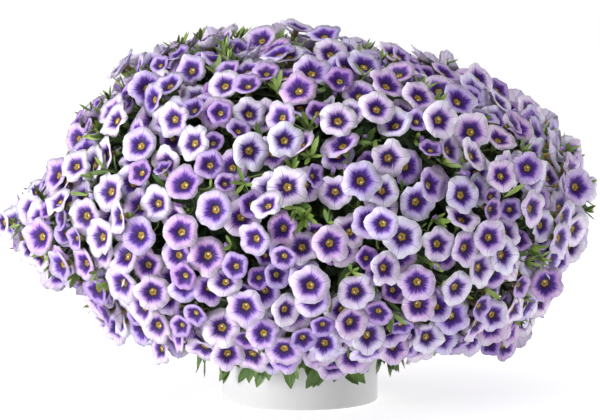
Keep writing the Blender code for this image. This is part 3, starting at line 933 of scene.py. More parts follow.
def map_petals(skin, ring_of, rim, flat):
    """Unrolls a bloom into two discs side by side: its face in the left half of the UV square and
    its back in the right. So the finish can draw true circles and rays, however few the faces."""
    layer = skin.data.uv_layers.new(name="petal")
    for face in skin.data.polygons:
        front = all(ring_of[v] <= rim for v in face.vertices)
        middle = FACE_MAP if front else BACK_MAP
        for corner, v in zip(face.loop_indices, face.vertices):
            at = flat[v] * MAP_RADIUS
            layer.data[corner].uv = (middle[0] + at.x, middle[1] + at.y)


def lay_map(skin, place_of):
    """Gives every corner its place in the UV square, by a rule on its point."""
    layer = skin.data.uv_layers.new(name="petal")
    for loop in skin.data.loops:
        layer.data[loop.index].uv = place_of(skin.data.vertices[loop.vertex_index].co)


def away_from_lobe(turn):
    """0 along a lobe's middle line and 1 in the notch between two lobes."""
    lobes = turn * 5 / math.tau
    return 2 * abs(lobes - round(lobes))


# %% Open and young blooms
# Rings: sides, share of the half width, height. The third is the rim.
RIM = 2
OPEN_RINGS = ((5, 0.08, -0.34), (20, 0.55, -0.07), (20, 1, 0), (5, 0.17, -0.34), (5, 0.12, -0.92))
YOUNG_RINGS = ((5, 0.08, -0.42), (20, 0.58, -0.13), (20, 1, 0), (5, 0.20, -0.50), (5, 0.15, -1.05))
NOTCH_DEPTH = 0.15
NOTCH_SPREAD = (0.5, 1.5)
NOTCH_POWER = 3.2
NOTCH_SINK = 0.05
LOBE_CURL = (-0.26, 0.16)
LOBE_REACH = (-0.09, 0.05)
LOBE_POINT = 0.05
RIM_WAVE = (-0.065, 0.055)
INNER_CURL = 0.30
INNER_SINK = 0.03
INNER_CUT = 0.02
YOUNG_FLAT = 0.13
YOUNG_POWER = 1.5


def bloom_shape(name, rings, young, draw):
    """One bloom of half width 1 that faces +Z, with its own waves and curls."""
    skin, ring_of = skin_over(name, rings)
    lobe_curl = [draw.uniform(*LOBE_CURL) for _ in range(5)]
    lobe_reach = [draw.uniform(*LOBE_REACH) for _ in range(5)]
    notch = [NOTCH_DEPTH * draw.uniform(*NOTCH_SPREAD) for _ in range(5)]
    flat = []
    for vert in skin.data.vertices:
        turn = math.atan2(vert.co.y, vert.co.x)
        share = vert.co.xy.length
        ring = ring_of[vert.index]
        lobe = round(turn * 5 / math.tau) % 5
        away = away_from_lobe(turn)
        if ring == RIM:
            cut = YOUNG_FLAT * away**YOUNG_POWER if young else notch[lobe] * away**NOTCH_POWER
            if not young and away < 0.01:
                cut -= draw.uniform(0, LOBE_POINT)
            reach = 1 - cut + lobe_reach[lobe] * (1 - away)
            vert.co.xy *= reach
            share = reach
            vert.co.z += lobe_curl[lobe] * (1 - away) + draw.uniform(*RIM_WAVE)
            vert.co.z -= NOTCH_SINK * away
        elif ring == RIM - 1:
            vert.co.xy *= 1 - INNER_CUT * away
            vert.co.z += INNER_CURL * lobe_curl[lobe] * (1 - away) - INNER_SINK * away
        flat.append(Vector((math.cos(turn), math.sin(turn))) * share)
    map_petals(skin, ring_of, RIM, flat)
    return skin


KINDS = 7
draw = random.Random(SEED + 6)
open_blooms = [bloom_shape(f"open_{k}", OPEN_RINGS, False, draw) for k in range(KINDS)]
young_blooms = [bloom_shape(f"young_{k}", YOUNG_RINGS, True, draw) for k in range(KINDS)]
print("an open bloom has", len(open_blooms[0].data.polygons), "faces")
print("a young bloom has", len(young_blooms[0].data.polygons), "faces")

# %% [markdown]
# ## Buds and calyx
# Before it opens a bloom is a furled club, twisted like an umbrella, on the same green calyx. Both
# are short skins over five-sided rings.

# %% Bud and calyx
BUD_RINGS = ((5, 0.05, 1.0), (5, 0.12, 0.86), (5, 0.17, 0.62), (5, 0.10, 0.30), (5, 0.08, 0.0))
BUD_TWIST = 1.5
FURL_START = 0.4
FURL_RIDGE = 1.25
FURL_GROOVE = 0.95
BUD_MAP_TAPER = 0.25
BUD_TIP_MAP = Vector((0.1, 0))
CALYX_RINGS = ((5, 0.22, 0.30), (5, 0.13, 0.02), (5, 0.06, -0.16))
CALYX_HOLLOW = 0.05


def bud_map(co):
    """A bud wears the outer part of a young face's pattern, and its tip a part further in."""
    at = co.xy.normalized() * (1 - BUD_MAP_TAPER * co.z) * MAP_RADIUS
    if co.xy.length <= 1e-6:
        at = BUD_TIP_MAP
    return FACE_MAP[0] + at.x, FACE_MAP[1] + at.y


bud, _ = skin_over("bud", BUD_RINGS)
for vert in bud.data.vertices:
    ridge = FURL_RIDGE if vert.co.z > FURL_START and vert.index % 2 else FURL_GROOVE
    vert.co.xy = Matrix.Rotation(BUD_TWIST * vert.co.z, 2) @ (vert.co.xy * ridge)
lay_map(bud, bud_map)
calyx, calyx_ring = skin_over("calyx", CALYX_RINGS)
for vert in calyx.data.vertices:
    if calyx_ring[vert.index] == 0 and vert.co.xy.length < 1e-4:
        vert.co.z = CALYX_HOLLOW
calyx.data.uv_layers.new(name="petal")
print("bud", len(bud.data.polygons), "faces, calyx", len(calyx.data.polygons), "faces")

# %% [markdown]
# ## One leaf
# The leaves are small lances, widest past the middle, with a sunk rib. A grid of two by four faces
# carries that: each row is drawn in to the blade's width and bent up or down, and then the middle
# column is pushed down. A row that is done lies a hair low, so that the next pick passes it by.

# %% Leaf
LEAF_ROWS = ((0.0, 0.16), (0.25, 0.72), (0.55, 1.0), (0.8, 0.70), (1.0, 0.05))
LEAF_HALF_WIDTH = 0.12
RIB_DEPTH = 0.035
HAIR = 1e-5
# Each kind's width against the plain blade, its bend and its cup. The last is broad.
LEAF_KINDS = ((1, 0.04, 0.0), (1, 0.22, 0.01), (1.15, -0.10, 0.04), (1.6, 0.16, 0.02))
FLAT_LEAF, BROAD_LEAF = 0, 3


def leaf_shape(half_width, bend, cup):
    """A blade of length 1 along +Y from the origin, with its face up."""
    start()
    bpy.ops.mesh.primitive_grid_add(x_subdivisions=2, y_subdivisions=4, size=1, location=(0, 0, 0))
    blade = open_new("leaf")
    bpy.ops.mesh.select_all(action="SELECT")
    bpy.ops.transform.resize(value=(2 * half_width, 1, 1), center_override=(0, 0, 0))
    bpy.ops.transform.translate(value=(0, 0.5, 0))
    for row, (place, width) in enumerate(LEAF_ROWS):
        level = row / (len(LEAF_ROWS) - 1)
        pick(lambda vert: abs(vert.co.y - level) < 0.02 and vert.co.z == 0)
        bpy.ops.transform.resize(value=(width, 1, 1), center_override=(0, level, 0))
        bpy.ops.transform.translate(value=(0, place - level, -bend * place**2 - HAIR))
    pick(lambda vert: abs(vert.co.x) < 1e-4 and 0.1 < vert.co.y < 0.95)
    bpy.ops.transform.translate(value=(0, 0, -RIB_DEPTH - cup))
    bpy.ops.object.mode_set(mode="OBJECT")
    bpy.ops.object.shade_smooth()
    lay_map(blade, lambda co: (0.5 + co.x / (2 * half_width), co.y))
    return blade


leaf_kinds = [leaf_shape(width * LEAF_HALF_WIDTH, *form) for width, *form in LEAF_KINDS]
print("a leaf has", len(leaf_kinds[0].data.polygons), "faces")

# %% [markdown]
# ## Copies
# Thousands of separate objects would be slow to render and to export, so the copies of one stem
# are gathered into one mesh. Every copy still has its own points, moved to its own place, and
# carries three numbers of its own, its tint, which the finishes read.


# %% Gathering copies
def read(items, name, kind, *shape):
    """One property of many items, as an array with a row for each."""
    values = np.empty((len(items), *shape), kind)
    items.foreach_get(name, values.ravel())
    return values


class Shape:
    """A template's mesh as arrays."""

    def __init__(self, mesh, finish):
        self.points = read(mesh.vertices, "co", np.float32, 3)
        self.corners = read(mesh.loops, "vertex_index", np.int32)
        self.starts = read(mesh.polygons, "loop_start", np.int32)
        self.uv = np.zeros((len(mesh.loops), 2), np.float32)
        if "petal" in mesh.uv_layers:
            self.uv = read(mesh.uv_layers["petal"].data, "uv", np.float32, 2)
        self.finish = finish


def gather(name, copies, finishes):
    """One piece from (shape, matrix, tint) copies."""
    points, corners, starts, uvs, tints, slots = [], [], [], [], [], []
    point_count = corner_count = 0
    for shape, matrix, tint in copies:
        m = np.array(matrix)
        points.append(shape.points @ m[:3, :3].T + m[:3, 3])
        corners.append(shape.corners + point_count)
        starts.append(shape.starts + corner_count)
        uvs.append(shape.uv)
        tints.append(np.tile(tint, (len(shape.points), 1)))
        slots.append(np.full(len(shape.starts), shape.finish))
        point_count += len(shape.points)
        corner_count += len(shape.corners)
    mesh = bpy.data.meshes.new(name)
    mesh.vertices.add(point_count)
    mesh.loops.add(corner_count)
    mesh.polygons.add(sum(map(len, starts)))
    mesh.vertices.foreach_set("co", np.concatenate(points).ravel().astype(np.float32))
    mesh.loops.foreach_set("vertex_index", np.concatenate(corners).astype(np.int32))
    mesh.polygons.foreach_set("loop_start", np.concatenate(starts).astype(np.int32))
    for finish in finishes:
        mesh.materials.append(finish.material)
    mesh.polygons.foreach_set("material_index", np.concatenate(slots).astype(np.int32))
    mesh.polygons.foreach_set("use_smooth", np.ones(len(mesh.polygons), bool))
    mesh.uv_layers.new(name="petal").data.foreach_set("uv", np.concatenate(uvs).ravel())
    tint = mesh.attributes.new("tint", "FLOAT_VECTOR", "POINT")
    tint.data.foreach_set("vector", np.concatenate(tints).ravel().astype(np.float32))
    mesh.update(calc_edges=True)
    piece = bpy.data.objects.new(name, mesh)
    scene.collection.objects.link(piece)
    return piece


def aim(axis, twist=0.0):
    """The rotation that turns +Z to an axis, after a turn about +Z."""
    return axis.to_track_quat("Z", "Y").to_matrix().to_4x4() @ Matrix.Rotation(twist, 4, "Z")


def placed(place, turned, size):
    return Matrix.Translation(place) @ turned @ Matrix.Scale(size, 4)


def any_tint(draw):
    return draw.random(), draw.random(), draw.random()


PETAL_OPEN, PETAL_YOUNG, GREEN = range(3)
LEAF, WOOD = range(2)
open_shapes = [Shape(obj.data, PETAL_OPEN) for obj in open_blooms]
young_shapes = [Shape(obj.data, PETAL_YOUNG) for obj in young_blooms]
bud_shape = Shape(bud.data, PETAL_YOUNG)
calyx_shape = Shape(calyx.data, GREEN)
leaf_shapes = [Shape(obj.data, LEAF) for obj in leaf_kinds]
for obj in [*open_blooms, *young_blooms, bud, calyx, *leaf_kinds]:
    bpy.data.objects.remove(obj)
print("shapes", len(open_shapes) + len(young_shapes) + len(leaf_shapes) + 2)

# %% [markdown]
# ## Twigs
# Each stem forks into about eighteen thin twigs that end just under the blooms. Their ends are
# spread evenly: of a few random spots, the one furthest from all earlier ends is taken. A few reach
# lower than the blooms do, and make the leafy skirt that hangs over the pot.

# %% Twigs
TWIG_COUNT = 680
TWIG_CHOICES = 4
TWIG_STEPS = 7
TWIG_DEPTH = (-0.003, 0.013)
LOWEST_TWIG_ANGLE = math.radians(-60)
TWIG_RADIUS = 0.0009
TWIG_ARCH = 0.12
TWIG_CHECKS = 14
TWIG_FRONT = 0.002
SHORTEST_TWIG = 0.3


class Twig:
    """A thin curved shoot from a stem's end to a spot under the mound's surface."""

    def __init__(self, stem, way, draw):
        self.way = way
        self.normal = mound_normal(way)
        deepest = TWIG_DEPTH[1] if way.z > math.sin(LOWEST_BLOOM_ANGLE) else TWIG_DEPTH[0]
        self.end = mound_point(way) - self.normal * draw.uniform(TWIG_DEPTH[0], deepest)
        begin = stem.route[-2].lerp(stem.joint, draw.random())
        bend = begin.lerp(self.end, 0.5) + UP * TWIG_ARCH * (self.end - begin).length
        self.points = bow(begin, bend, self.end, TWIG_STEPS)
        self.stop_short()

    def stop_short(self):
        """Ends the twig before the first bloom that it would run through."""
        last = SHORTEST_TWIG
        for share in np.linspace(SHORTEST_TWIG, 1, TWIG_CHECKS):
            if crowd.hidden_by(np.array([self.at(share)[0]]), TWIG_FRONT):
                break
            last = share
        steps = [last * k / (TWIG_STEPS - 1) for k in range(TWIG_STEPS)]
        self.points = [self.at(step)[0] for step in steps]
        self.end = self.points[-1]

    def at(self, t):
        """The place and the direction at a share of the twig's length."""
        place = t * (TWIG_STEPS - 1)
        k = min(int(place), TWIG_STEPS - 2)
        first, second = self.points[k], self.points[k + 1]
        return first.lerp(second, place - k), (second - first).normalized()


def room_at(way):
    """How far the outline's point that way is from the end of every twig so far."""
    return np.linalg.norm(ends - np.array(mound_point(way)), axis=1).min(initial=math.inf)


draw = random.Random(SEED + 7)
ends = np.zeros((0, 3))
for _ in range(TWIG_COUNT):
    ways = [random_way(draw, LOWEST_TWIG_ANGLE) for _ in range(TWIG_CHOICES)]
    way = max(ways, key=room_at)
    ends = np.vstack([ends, mound_point(way)])
    home_of(way).twigs.append(Twig(home_of(way), way, draw))
print("twigs", sum(len(stem.twigs) for stem in stems))

# %% [markdown]
# ## Leaves on the twigs
# Leaves turn round a twig by the golden angle, large and dark low down, small and bright at the
# tip; the deeper a leaf lies in the mound, the darker its green, partly older leaves and partly
# painted shade. None may stand in a bloom's dish or close in front of one, and none may cut the
# pot.

# %% Leaves
GOLDEN_TURN = math.pi * (3 - math.sqrt(5))
LEAVES_PER_TWIG = 17
FIRST_LEAF = 0.22
BROAD_BELOW = 0.62
LEAF_LENGTH = (0.034, 0.017)
LEAF_LENGTH_SPREAD = (0.8, 1.2)
LEAF_OPENING = (1.15, 0.55)
LEAF_TURN_SPREAD = 0.4
LEAF_FACE_ALONG = 0.5
LEAF_FACE_ROLL = 0.3
LEAF_FRONT = 0.006
YOUNG_AND_LIT_WITHIN = 0.042
YOUTH_SPREAD = (0.6, 1.0)
BLADE_CHECKS = (0.3, 0.55, 0.8, 1.0)
HIGHEST_OUT = 0.010
POT_CLEAR = 0.071
LIP_CLEAR = 0.002
HANGING_BELOW = math.sin(math.radians(-33))
HANGING_LEAVES = 6
HANGING_FROM = (0.7, 1.0)
HANGING_ASIDE = 0.45
HANGING_OUTWARD = (0.1, 0.7)
HANGING_LENGTH = (0.020, 0.032)
HANGING_YOUTH = (0.2, 0.6)
HANGING_OUT = 0.024


def add_leaf(stem, shape, root, along, face, length, youth_and_painted_light, draw):
    """Sets a blade on a stem: where it starts, the way it points and the way its face looks."""
    side = along.cross(face).normalized()
    turned = Matrix((side, along, side.cross(along).normalized())).transposed().to_4x4()
    tint = (youth_and_painted_light, draw.random(), draw.random())
    stem.leaves.append((shape, placed(root, turned, length), tint))


def between(ends, share):
    """The number at a share of the way between two."""
    return ends[0] + (ends[1] - ends[0]) * share


def clears_all(root, along, length, out=HIGHEST_OUT, front=LEAF_FRONT):
    """Whether a blade stays out of the blooms, inside the mound and clear of the pot."""
    spots = [root + along * length * share for share in BLADE_CHECKS]
    offset = spots[-1] - MOUND_CENTRE
    if offset.length > mound_radius(offset.normalized()) + out:
        return False
    if any(spot.xy.length < POT_CLEAR and spot.z < POT_HEIGHT + LIP_CLEAR for spot in spots):
        return False
    return not crowd.hidden_by(np.array(spots), front)


def hang_leaves(stem, twig, draw):
    """Broad leaves that hang from the end of a low twig."""
    level = Vector((twig.way.x, twig.way.y, 0)).normalized()
    for _ in range(HANGING_LEAVES):
        root, _ = twig.at(draw.uniform(*HANGING_FROM))
        aside = level.cross(UP) * draw.gauss(0, HANGING_ASIDE)
        along = (level * draw.uniform(*HANGING_OUTWARD) + aside - UP).normalized()
        length = draw.uniform(*HANGING_LENGTH)
        if clears_all(root, along, length, HANGING_OUT):
            youth_and_painted_light = draw.uniform(*HANGING_YOUTH)
            add_leaf(stem, leaf_shapes[BROAD_LEAF], root, along, level, length, youth_and_painted_light, draw)


def dress_twig(stem, twig, draw):
    """Leaves round the twig from near its foot to its tip."""
    for k in range(LEAVES_PER_TWIG):
        t = FIRST_LEAF + (1 - FIRST_LEAF) * (k + draw.random()) / LEAVES_PER_TWIG
        root, tangent = twig.at(min(t, 1.0))
        turn = GOLDEN_TURN * k + draw.uniform(-LEAF_TURN_SPREAD, LEAF_TURN_SPREAD)
        outward = around(tangent, turn)
        opening = between(LEAF_OPENING, t)
        along = (tangent * math.cos(opening) + outward * math.sin(opening)).normalized()
        length = between(LEAF_LENGTH, t) * draw.uniform(*LEAF_LENGTH_SPREAD)
        roll = outward * draw.uniform(-LEAF_FACE_ROLL, LEAF_FACE_ROLL)
        face = (twig.normal + LEAF_FACE_ALONG * tangent + roll).normalized()
        if not clears_all(root, along, length):
            continue
        hangs = twig.way.z < math.sin(LOWEST_BLOOM_ANGLE)
        broad = t < BROAD_BELOW or hangs and k % 2
        kind = leaf_shapes[BROAD_LEAF if broad else draw.randrange(BROAD_LEAF)]
        # Deeper leaves get a darker green: older leaves, and painted shade that keeps the gaps
        # dark.
        offset = root - MOUND_CENTRE
        depth = mound_radius(offset.normalized()) - offset.length
        youth_and_painted_light = max(0.0, 1 - depth / YOUNG_AND_LIT_WITHIN) * draw.uniform(*YOUTH_SPREAD)
        add_leaf(stem, kind, root, along, face, length, youth_and_painted_light, draw)


draw = random.Random(SEED + 8)
for stem in stems:
    for twig in stem.twigs:
        dress_twig(stem, twig, draw)
        if twig.way.z < HANGING_BELOW:
            hang_leaves(stem, twig, draw)
print("leaves", sum(len(stem.leaves) for stem in stems))

# %% [markdown]
# ## Shoot tips
# Between the blooms, the growing tips show as small tufts of bright leaves. A tuft sits on a twig's
# end, wherever no bloom covers it, and more tufts on short side shoots fill the gaps that are left.

# %% Tufts
TUFT_LEAVES = 9
TUFT_LENGTH = (0.010, 0.020)
TUFT_OPENING = 0.25
TUFT_SPREAD = 0.75
TUFT_YOUTH = (0.75, 1.0)
TUFT_CHECKS = (0.0, 0.006, 0.012)
TUFT_FRONT = 0.016
TUFT_LEAF_FRONT = 0.009
TUFT_TRIES = 4000
TUFT_DEPTH = (0.001, 0.012)
TUFT_ROOM = 0.012
TUFT_SPOT = 5
LONGEST_TUFT_STALK = 0.030
STALK_SAG = 0.002
tuft_places = []


def in_the_open(place, normal):
    """Whether no bloom covers a tuft that would grow here."""
    spots = np.array([place + normal * reach for reach in TUFT_CHECKS])
    return not crowd.hidden_by(spots, TUFT_FRONT)


def grow_tuft(stem, place, normal, draw):
    """A whorl of small leaves that opens outwards."""
    tuft_places.append(place)
    for k in range(TUFT_LEAVES):
        outward = around(normal, GOLDEN_TURN * k)
        opening = TUFT_OPENING + TUFT_SPREAD * k / TUFT_LEAVES
        along = (normal * math.cos(opening) + outward * math.sin(opening)).normalized()
        length = draw.uniform(*TUFT_LENGTH)
        if clears_all(place, along, length, front=TUFT_LEAF_FRONT):
            youth_and_painted_light = draw.uniform(*TUFT_YOUTH)
            add_leaf(stem, leaf_shapes[FLAT_LEAF], place, along, normal, length, youth_and_painted_light, draw)


def sagging(foot, root, sag):
    """A stalk's route from its upper end back to its twig."""
    return [foot, foot.lerp(root, 0.5) - sag, root]


draw = random.Random(SEED + 9)
for stem in stems:
    for twig in stem.twigs:
        if in_the_open(twig.end, twig.normal):
            grow_tuft(stem, twig.end, twig.normal, draw)
print("tufts on twigs", len(tuft_places))

for _ in range(TUFT_TRIES):
    way = random_way(draw)
    normal = mound_normal(way)
    place = mound_point(way) - normal * draw.uniform(*TUFT_DEPTH)
    crowded = any((place - other).length < TUFT_ROOM for other in tuft_places)
    if crowded or not in_the_open(place, normal):
        continue
    home = home_of(way)
    root = home.spot_near(place, TUFT_SPOT)
    if (root - place).length < LONGEST_TUFT_STALK:
        home.stalks.append(sagging(place, root, normal * STALK_SAG))
        grow_tuft(home, place, normal, draw)
print("tufts in all", len(tuft_places))

# %% [markdown]
# ## Stalks
# Every bloom and bud stands on a thin green stalk that leaves the nearest twig. The stalks, twigs
# and stems are curves with a round bevel; the stems and twigs thin out towards their ends.


# %% Tubes
def tubes(name, routes):
    """A mesh of thin tubes along routes, each given as (points, first radius, last radius)."""
    curve = bpy.data.curves.new(name, "CURVE")
    curve.dimensions = "3D"
    curve.bevel_depth = 1.0
    curve.bevel_resolution = 0
    curve.use_fill_caps = True
    for points, first, last in routes:
        spline = curve.splines.new("POLY")
        spline.points.add(len(points) - 1)
        for k, (point, co) in enumerate(zip(spline.points, points)):
            point.co = (*co, 1)
            point.radius = first + (last - first) * k / (len(points) - 1)
    guide = bpy.data.objects.new(name, curve)
    scene.collection.objects.link(guide)
    made = guide.evaluated_get(bpy.context.evaluated_depsgraph_get())
    mesh = bpy.data.meshes.new_from_object(made)
    bpy.data.objects.remove(guide)
    return mesh


def smooth_route(points, steps):
    """A rounder route through the middle of a coarse one."""
    for _ in range(steps):
        cut = [points[0]]
        for first, second in zip(points, points[1:]):
            cut += [first.lerp(second, 0.25), first.lerp(second, 0.75)]
        points = [*cut, points[-1]]
    return points


STALK_SPOT = 3
STALK_START = 0.008
STALK_BEND = 0.3
for stem in stems:
    for bloom in stem.blooms:
        foot = bloom.foot()
        root = stem.spot_near(foot - bloom.axis * STALK_START, STALK_SPOT)
        sag = bloom.axis * STALK_BEND * (foot - root).length
        stem.stalks.append(sagging(foot, root, sag))
print("stalks", sum(len(stem.stalks) for stem in stems))

# %% Buds
BUD_TRIES = 1600
LONGEST_BUD_STALK = 0.020
BUD_SIZE = (0.009, 0.014)
BUD_DEPTH = (0.006, 0.016)
BUD_LEAN = 0.35
BUD_CHECKS = (0.0, 0.5, 1.0)
BUD_FRONT = 0.003
BUD_STALK_FRONT = 0.006
BUD_SPOT = 6
draw = random.Random(SEED + 10)
for _ in range(BUD_TRIES):
    way = random_way(draw)
    normal = mound_normal(way)
    foot = mound_point(way) - normal * draw.uniform(*BUD_DEPTH)
    axis = (normal + scatter(draw, BUD_LEAN)).normalized()
    size = draw.uniform(*BUD_SIZE)
    turned = aim(axis, draw.uniform(0, math.tau))
    tint = any_tint(draw)
    if crowd.hidden_by(np.array([foot + axis * size * share for share in BUD_CHECKS]), BUD_FRONT):
        continue
    home = home_of(way)
    root = home.spot_near(foot, BUD_SPOT)
    route = sagging(foot, root, axis * STALK_SAG)
    way_back = np.array([foot.lerp(route[1], 0.5), route[1], route[1].lerp(root, 0.5)])
    if (root - foot).length > LONGEST_BUD_STALK or crowd.hidden_by(way_back, BUD_STALK_FRONT):
        continue
    home.stalks.append(route)
    home.buds.append((placed(foot, turned, size), tint))
print("buds", sum(len(stem.buds) for stem in stems))

# %% [markdown]
# ## The petals' finish
# The face's map is a disc, so the distance from its middle and the angle round it give every part
# of the pattern: a pit painted dark brown as painted shade deep in the tube, a golden throat, a
# violet eye with a ragged edge, darkest inside, a vein down each lobe with finer ones beside it,
# and a rim that pales to near white. The back is its own pale lilac, brightened as painted light
# that shines through the thin petal. The rays are noise that is stretched along the petal. Young
# blooms have the same pattern with a wider, softer star on mauve.


# %% Petals
EYE_FRAY = 0.34
DARK_REACH = 0.50
THROAT_REACH = 0.215
PIT_SHADE_REACH = 0.085
STIGMA_REACH = 0.06
STIGMA_OFF = 0.05
TUBE_REACH = 0.34


def petal_finish(name, eye_reach, eye_point, rim_pale, rim_deep, eye_colour, vein_share):
    """The pattern of a bloom's face and back. Reaches are shares of the bloom's half width."""
    petal = Finish(name, roughness=0.5, Specular_IOR_Level=0.25)
    u, v = petal.petal_map()
    pale, cool, phase = petal.tint()
    back = u.math("GREATER_THAN", 0.5)
    x = (u - FACE_MAP[0] - (BACK_MAP[0] - FACE_MAP[0]) * back) / MAP_RADIUS
    y = (v - FACE_MAP[1]) / MAP_RADIUS
    reach = (x * x + y * y).math("SQRT")
    lobes = y.math("ARCTAN2", x) * (5 / math.tau)
    away = lobes.math("PINGPONG", 0.5) * 2
    rays = petal.noise(petal.vector(lobes * 9, reach * 1.4, phase * 40), 1.0, 3.0)
    blotch = petal.noise(petal.vector(x, y, phase * 25), 2.2, 2.0)

    rim_share = ((reach - eye_reach) / (1.0 - eye_reach)).clamped()
    rim = petal.mix(cool, rim_pale, (rim_pale[0] * 1.04, rim_pale[1] * 0.98, rim_pale[2] * 0.97))
    lilac = petal.mix(cool, rim_deep, (rim_deep[0] * 1.3, rim_deep[1] * 0.95, rim_deep[2] * 0.9))
    whiteness = rim_share * 0.95 + (pale - 0.5) * 0.7 + (rays - 0.5) * 0.9 + (blotch - 0.5) * 0.5
    face = petal.mix(whiteness.clamped(), lilac, rim)

    vein = (1 - away * reach * 16).clamped() * (1.25 - reach).clamped() * vein_share
    fine = (1 - (lobes * 7).math("PINGPONG", 0.5) * reach * 6).clamped() * (1.05 - reach).clamped()
    face = petal.mix((vein + fine * 0.5).clamped(), face, eye_colour)

    edge = eye_reach + eye_point * (1 - away) + (rays - 0.5) * EYE_FRAY + (0.5 - pale) * 0.12
    eye = ((edge - reach) * 5.0 + 0.55).clamped()
    dark = ((DARK_REACH - reach) * 4.0 + (rays - 0.5) * 1.6).clamped()
    inside = petal.mix(dark, eye_colour, (0.014, 0.002, 0.040))
    face = petal.mix(eye, face, inside)

    throat = ((THROAT_REACH - away * 0.03 - reach + (rays - 0.5) * 0.06) * 30).clamped()
    gold = petal.mix((rays * 2.4 - 0.7).clamped(), (0.44, 0.27, 0.03), (0.15, 0.075, 0.006))
    face = petal.mix(throat, face, gold)
    # Painted shade: the bottom of the throat is painted dark brown for the shade deep in the tube.
    painted_pit_shade = ((PIT_SHADE_REACH - reach) * 22).clamped()
    face = petal.mix(painted_pit_shade * 0.85, face, (0.075, 0.045, 0.006))
    right, down = x - STIGMA_OFF, y + STIGMA_OFF
    off = (right * right + down * down).math("SQRT")
    face = petal.mix(((STIGMA_REACH - off) * 40).clamped(), face, (0.68, 0.60, 0.34))

    # The back's pale lilac is its own colour, brightened as painted light that shines through the
    # thin petal.
    under = petal.mix((rays * 0.9).clamped(), (0.50, 0.42, 0.62), (0.76, 0.70, 0.84))
    under = petal.mix((1 - away * reach * 9).clamped() * 0.45, under, (0.17, 0.09, 0.22))
    tube = petal.mix(cool, (0.42, 0.33, 0.10), (0.30, 0.15, 0.12))
    under = petal.mix(((TUBE_REACH - reach) * 6).clamped(), under, tube)
    petal.set(Base_Color=petal.mix(back, face, under), Roughness=0.46 + 0.14 * rays)
    petal.bump(rays - vein * 0.3, 0.0003, 0.5)
    return petal


open_petal = petal_finish(
    "open petals",
    eye_reach=0.46,
    eye_point=0.10,
    rim_pale=(0.78, 0.765, 0.87),
    rim_deep=(0.40, 0.295, 0.65),
    eye_colour=(0.070, 0.014, 0.250),
    vein_share=0.8,
)
young_petal = petal_finish(
    "young petals",
    eye_reach=0.50,
    eye_point=0.16,
    rim_pale=(0.54, 0.44, 0.74),
    rim_deep=(0.30, 0.195, 0.54),
    eye_colour=(0.055, 0.011, 0.185),
    vein_share=0.9,
)
print("petal nodes", len(open_petal.tree.nodes))

# %% [markdown]
# ## Leaf and stem finishes
# A leaf is dark and a little glossy when old and yellow-green when young, with a paler rib. Deep in
# the mound its green goes near to black, which is painted shade. Its own tint says how young it is
# and how much painted light it gets. Twigs and stalks are pale green where they are young and turn
# brown low down, near the compost.

# %% Leaf finish
leaf_green = Finish("leaf green", roughness=0.5)
u, v = leaf_green.petal_map()
youth_and_painted_light, shade, _ = leaf_green.tint()
mottle = leaf_green.noise(leaf_green.place(), 260.0, 2.0)
rib = (1 - (u - 0.5).math("ABSOLUTE") * 16).clamped()
side_vein = ((v * 9 - (u - 0.5).math("ABSOLUTE") * 5).math("PINGPONG", 0.5) * -8 + 1).clamped()
# The darkest greens are older leaves and painted shade deep in the mound.
old_and_painted_shade = leaf_green.mix(shade, (0.010, 0.030, 0.007), (0.028, 0.064, 0.014))
grown = leaf_green.mix(shade, (0.070, 0.155, 0.028), (0.140, 0.255, 0.048))
fresh = leaf_green.mix(shade, (0.15, 0.25, 0.040), (0.29, 0.38, 0.075))
blade = leaf_green.mix((youth_and_painted_light * 2).clamped(), old_and_painted_shade, grown)
blade = leaf_green.mix((youth_and_painted_light * 2.6 - 1.6).clamped(), blade, fresh)
blade = leaf_green.mix((mottle - 0.4).clamped() * 0.8, blade, (0.02, 0.05, 0.012))
blade = leaf_green.mix(rib * 0.35 + side_vein * 0.06, blade, (0.30, 0.38, 0.14))
leaf_green.set(Base_Color=blade, Roughness=0.38 + 0.2 * mottle)
leaf_green.bump(mottle + rib, 0.0004, 0.6)
print("leaf nodes", len(leaf_green.tree.nodes))

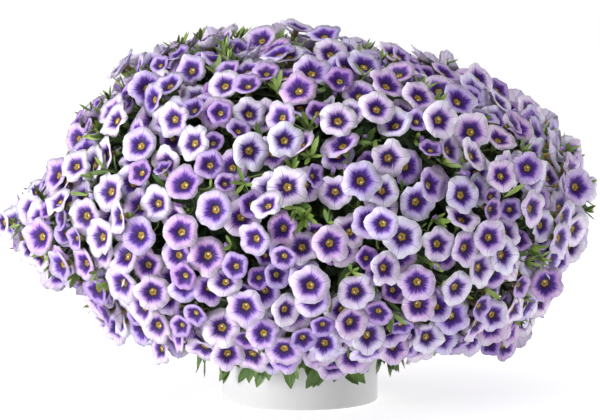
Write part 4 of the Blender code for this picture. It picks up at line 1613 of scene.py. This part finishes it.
# %% Stem finish
stem_green = Finish("green and woody stem", roughness=0.6)
_, _, z = stem_green.parts(stem_green.place())
woody = ((POT_HEIGHT + 0.03 - z) * 30).clamped()
streak = stem_green.noise(stem_green.place(), 340.0, 3.0)
young_stem = stem_green.mix(streak, (0.13, 0.20, 0.045), (0.24, 0.33, 0.09))
old_stem = stem_green.mix(streak, (0.07, 0.045, 0.022), (0.16, 0.11, 0.06))
stem_green.set(Base_Color=stem_green.mix(woody, young_stem, old_stem))
stem_green.bump(streak, 0.0003, 0.6)
print("stem nodes", len(stem_green.tree.nodes))

# %% [markdown]
# ## Building the stems
# Each leafy stem of the CAD model becomes two pieces: its shoots, which are wood and leaves, and
# its blooms. Both ride on the pot's body and stand for the same CAD node.

# %% Blooms and shoots
NO_MOVE = Matrix.Identity(4)
STEM_TINT = (0.5, 0.5, 0.5)
BUD_CALYX = 0.7
STEM_TAPER = 0.7
TWIG_TAPER = 0.6
STALK_RADIUS = 0.0006
draw = random.Random(SEED + 11)
triangles = 0
for stem in stems:
    flowers = []
    for bloom in stem.blooms:
        shape = draw.choice(young_shapes if bloom.young else open_shapes)
        turned = aim(bloom.axis, bloom.twist)
        flowers.append((shape, placed(bloom.centre, turned, bloom.radius), any_tint(draw)))
        flowers.append((calyx_shape, placed(bloom.foot(), turned, bloom.radius), STEM_TINT))
    for matrix, tint in stem.buds:
        flowers.append((bud_shape, matrix, tint))
        flowers.append((calyx_shape, matrix @ Matrix.Scale(BUD_CALYX, 4), STEM_TINT))
    head = gather(f"blooms_{stem.number:02d}", flowers, [open_petal, young_petal, stem_green])
    adopt(head, "bloom_and_leaf", stem.node)

    routes = [(smooth_route(stem.route, 2), STEM_RADIUS, STEM_TAPER * STEM_RADIUS)]
    routes += [(twig.points, TWIG_RADIUS, TWIG_TAPER * TWIG_RADIUS) for twig in stem.twigs]
    routes += [(route, STALK_RADIUS, STALK_RADIUS) for route in stem.stalks]
    wood = (Shape(tubes("wood", routes), WOOD), NO_MOVE, STEM_TINT)
    shoots = gather(f"shoots_{stem.number:02d}", [wood, *stem.leaves], [leaf_green, stem_green])
    adopt(shoots, "bloom_and_leaf", stem.node)
    for piece in (head, shoots):
        piece.data.calc_loop_triangles()
        triangles += len(piece.data.loop_triangles)
print("triangles in the stems", triangles)
